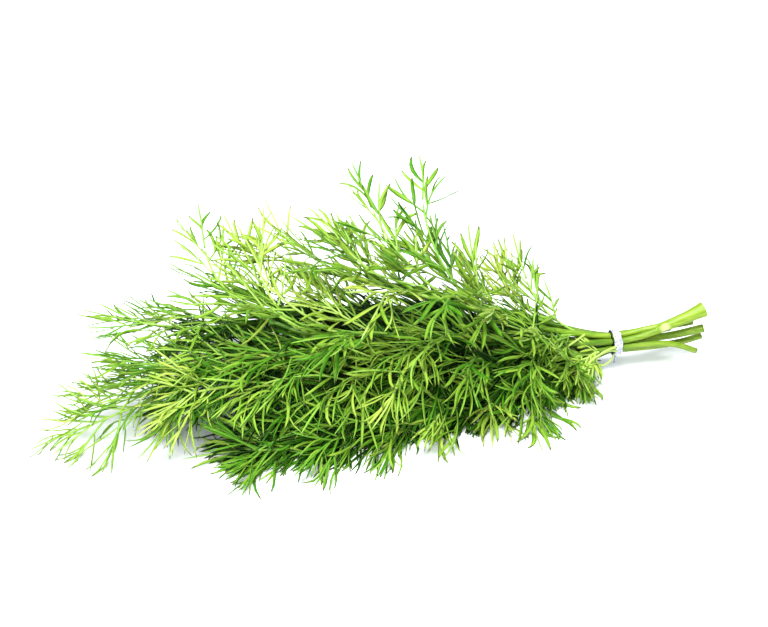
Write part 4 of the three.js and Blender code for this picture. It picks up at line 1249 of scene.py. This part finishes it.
# %% Cut faces, and joining meshes into one piece
CUT_RIM, CUT_DEPTH = 0.35, 0.25


def finish_cut_faces(mesh):
    """Insets the cut faces, the only ones with as many corners as a stem has sides."""
    shape = bmesh.new()
    shape.from_mesh(mesh)
    cuts = [face for face in shape.faces if len(face.verts) == STEM_SIDES]
    bmesh.ops.inset_individual(shape, faces=cuts, thickness=CUT_RIM * MM, depth=-CUT_DEPTH * MM)
    for face in cuts:
        face.material_index = 1
    shape.to_mesh(mesh)
    shape.free()
    print(len(cuts), "cut faces")


def joined(name, meshes):
    """One object at the origin from several meshes that keep their finishes."""
    parts = []
    for mesh in meshes:
        part = bpy.data.objects.new(name, mesh)
        bpy.context.collection.objects.link(part)
        parts.append(part)
    with bpy.context.temp_override(active_object=parts[0], object=parts[0], selected_objects=parts,
                                   selected_editable_objects=parts):
        bpy.ops.object.join()
    parts[0].name = name
    return parts[0]


print("the rim round the pith is", CUT_RIM, "mm wide")

# %% Make the seven leafy stems
FINISHES = {"thread": [leaf_finish], "rib": [rib_finish], "middle": [rib_finish],
            "stem": [stem_finish, pith_finish]}
for name in SPRIGS:
    meshes = []
    for kind, finishes in FINISHES.items():
        grown = strands[name][kind]
        for strand in grown:
            strand["line"] = [tuple(point + SHIFT) for point in strand["line"]]
        mesh = bent_strands(kind, grown)
        if kind == "stem":
            finish_cut_faces(mesh)
        for finish in finishes:
            mesh.materials.append(finish)
        meshes.append(mesh)
    piece = joined(f"{name}_leafy_stem", meshes)
    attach(piece, "root")
    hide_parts(name)
    triangles = sum(len(polygon.vertices) - 2 for polygon in piece.data.polygons)
    print(piece.name, triangles, "triangles")

# %% [markdown]
# The tie is one loop of paper strip. A closed oval outline, with slightly thicker rims, is spun
# a full turn round the stems, and noise crumples it. A torus would be round in section, where a
# strip is flat. The crumples are in the mesh itself, because they show along its outline.

# %% The loop of the tie
BAND_ROOM = 0.3                     # between the stems and the strip
BAND_INNER = STEM_RING + STEM_RADIUS + BAND_ROOM
BAND_WALL, BAND_HALF = 0.7, 2.1     # how thick it is, and half how wide
BAND_SIDES, BAND_STEPS = 20, 112
SQUARER = 0.6                       # a power below 1, which makes the oval squarer
BAND_RIM = 0.25                     # how much thinner the middle is than the rims, as a share
WELD = 0.001                        # corners closer than this become one
centre = Vector((TIE_X, 0, TIE_HEIGHT)) + SHIFT

band = bmesh.new()
outline = bmesh.ops.create_circle(band, segments=BAND_SIDES, radius=1)["verts"]
for corner in outline:
    x, y = corner.co.x, corner.co.y
    wide = math.copysign(abs(x) ** SQUARER, x)
    thick = math.copysign(abs(y) ** SQUARER, y) * (1 - BAND_RIM + BAND_RIM * abs(wide) ** 4)
    corner.co = (centre + Vector((wide * BAND_HALF, 0, BAND_INNER + BAND_WALL * (1 + thick) / 2))) * MM
bmesh.ops.spin(band, geom=band.verts[:] + band.edges[:], cent=centre * MM, axis=(1, 0, 0),
               angle=math.tau, steps=BAND_STEPS, use_merge=True)
bmesh.ops.remove_doubles(band, verts=band.verts, dist=WELD * MM)
print("the strip is", 2 * BAND_HALF, "mm wide and has", len(band.verts), "corners")

# %% Crumple it
# How many folds, creases and waves there are to a millimetre, and how deep they are.
FOLDS, FOLD_DEPTH = 0.8, 0.22
CREASES, CREASE_DEPTH = 2.1, 0.1
WAVES, WAVE_DEPTH = 0.45, 0.35
ELSEWHERE = Vector((9, 4, 2))       # the waves of the edges are taken from another part of the noise
for corner in band.verts:
    at = corner.co / MM
    outward = (at - centre) * Vector((0, 1, 1))
    crumple = noise.noise(at * FOLDS) * FOLD_DEPTH + noise.noise(at * CREASES) * CREASE_DEPTH
    corner.co += outward.normalized() * (crumple * MM)
    corner.co.x += noise.noise(at * WAVES + ELSEWHERE) * WAVE_DEPTH * MM
bmesh.ops.recalc_face_normals(band, faces=band.faces)
for face in band.faces:
    face.smooth = True
band_mesh = bpy.data.meshes.new("band")
band.to_mesh(band_mesh)
band.free()
print("the crumpled strip has", len(band_mesh.polygons), "faces")

# %% [markdown]
# The two ends of the strip are twisted together below the stems, as a hand does it. They are a
# pair of thin strands that wind round each other, made by the same bending as the threads.

# %% The twisted ends of the tie
TAIL_LENGTH, TAIL_TURNS, TAIL_SPREAD = 4.6, 2.2, 0.34
TAIL_RADIUS = 0.3
TAIL_LEAN, TAIL_ASIDE, TAIL_SUNK = 0.4, -2, 0.8     # lean along X, place along Y, start inside the strip
tail_strands = []
for turn in (0, math.pi):
    line = []
    for t, _ in TAPERS["tail"]:
        angle = turn + t * TAIL_TURNS * math.tau
        down = TAIL_SUNK - BAND_INNER - BAND_WALL - (TAIL_LENGTH + TAIL_SUNK) * t
        line.append(tuple(centre + Vector((TAIL_SPREAD * math.cos(angle) - TAIL_LEAN * t * t,
                                           TAIL_ASIDE + TAIL_SPREAD * math.sin(angle), down))))
    tail_strands.append({"line": line, "face": (1, 0, 0), "roll": 0, "twist": 0,
                         "width": TAIL_RADIUS, "depth": TAIL_RADIUS, "tone": 0})
tail_mesh = bent_strands("tail", tail_strands)
for mesh in (band_mesh, tail_mesh):
    mesh.materials.append(paper_finish)
tie = joined("paper_tie", [band_mesh, tail_mesh])
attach(tie, "root")
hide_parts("tie")
print(tie.name, len(tie.data.polygons), "faces")

# %% [markdown]
# Last, the blanks are cleared away.

# %% Clear up
for blank in BLANKS.values():
    bpy.data.meshes.remove(blank)
bpy.context.view_layer.update()
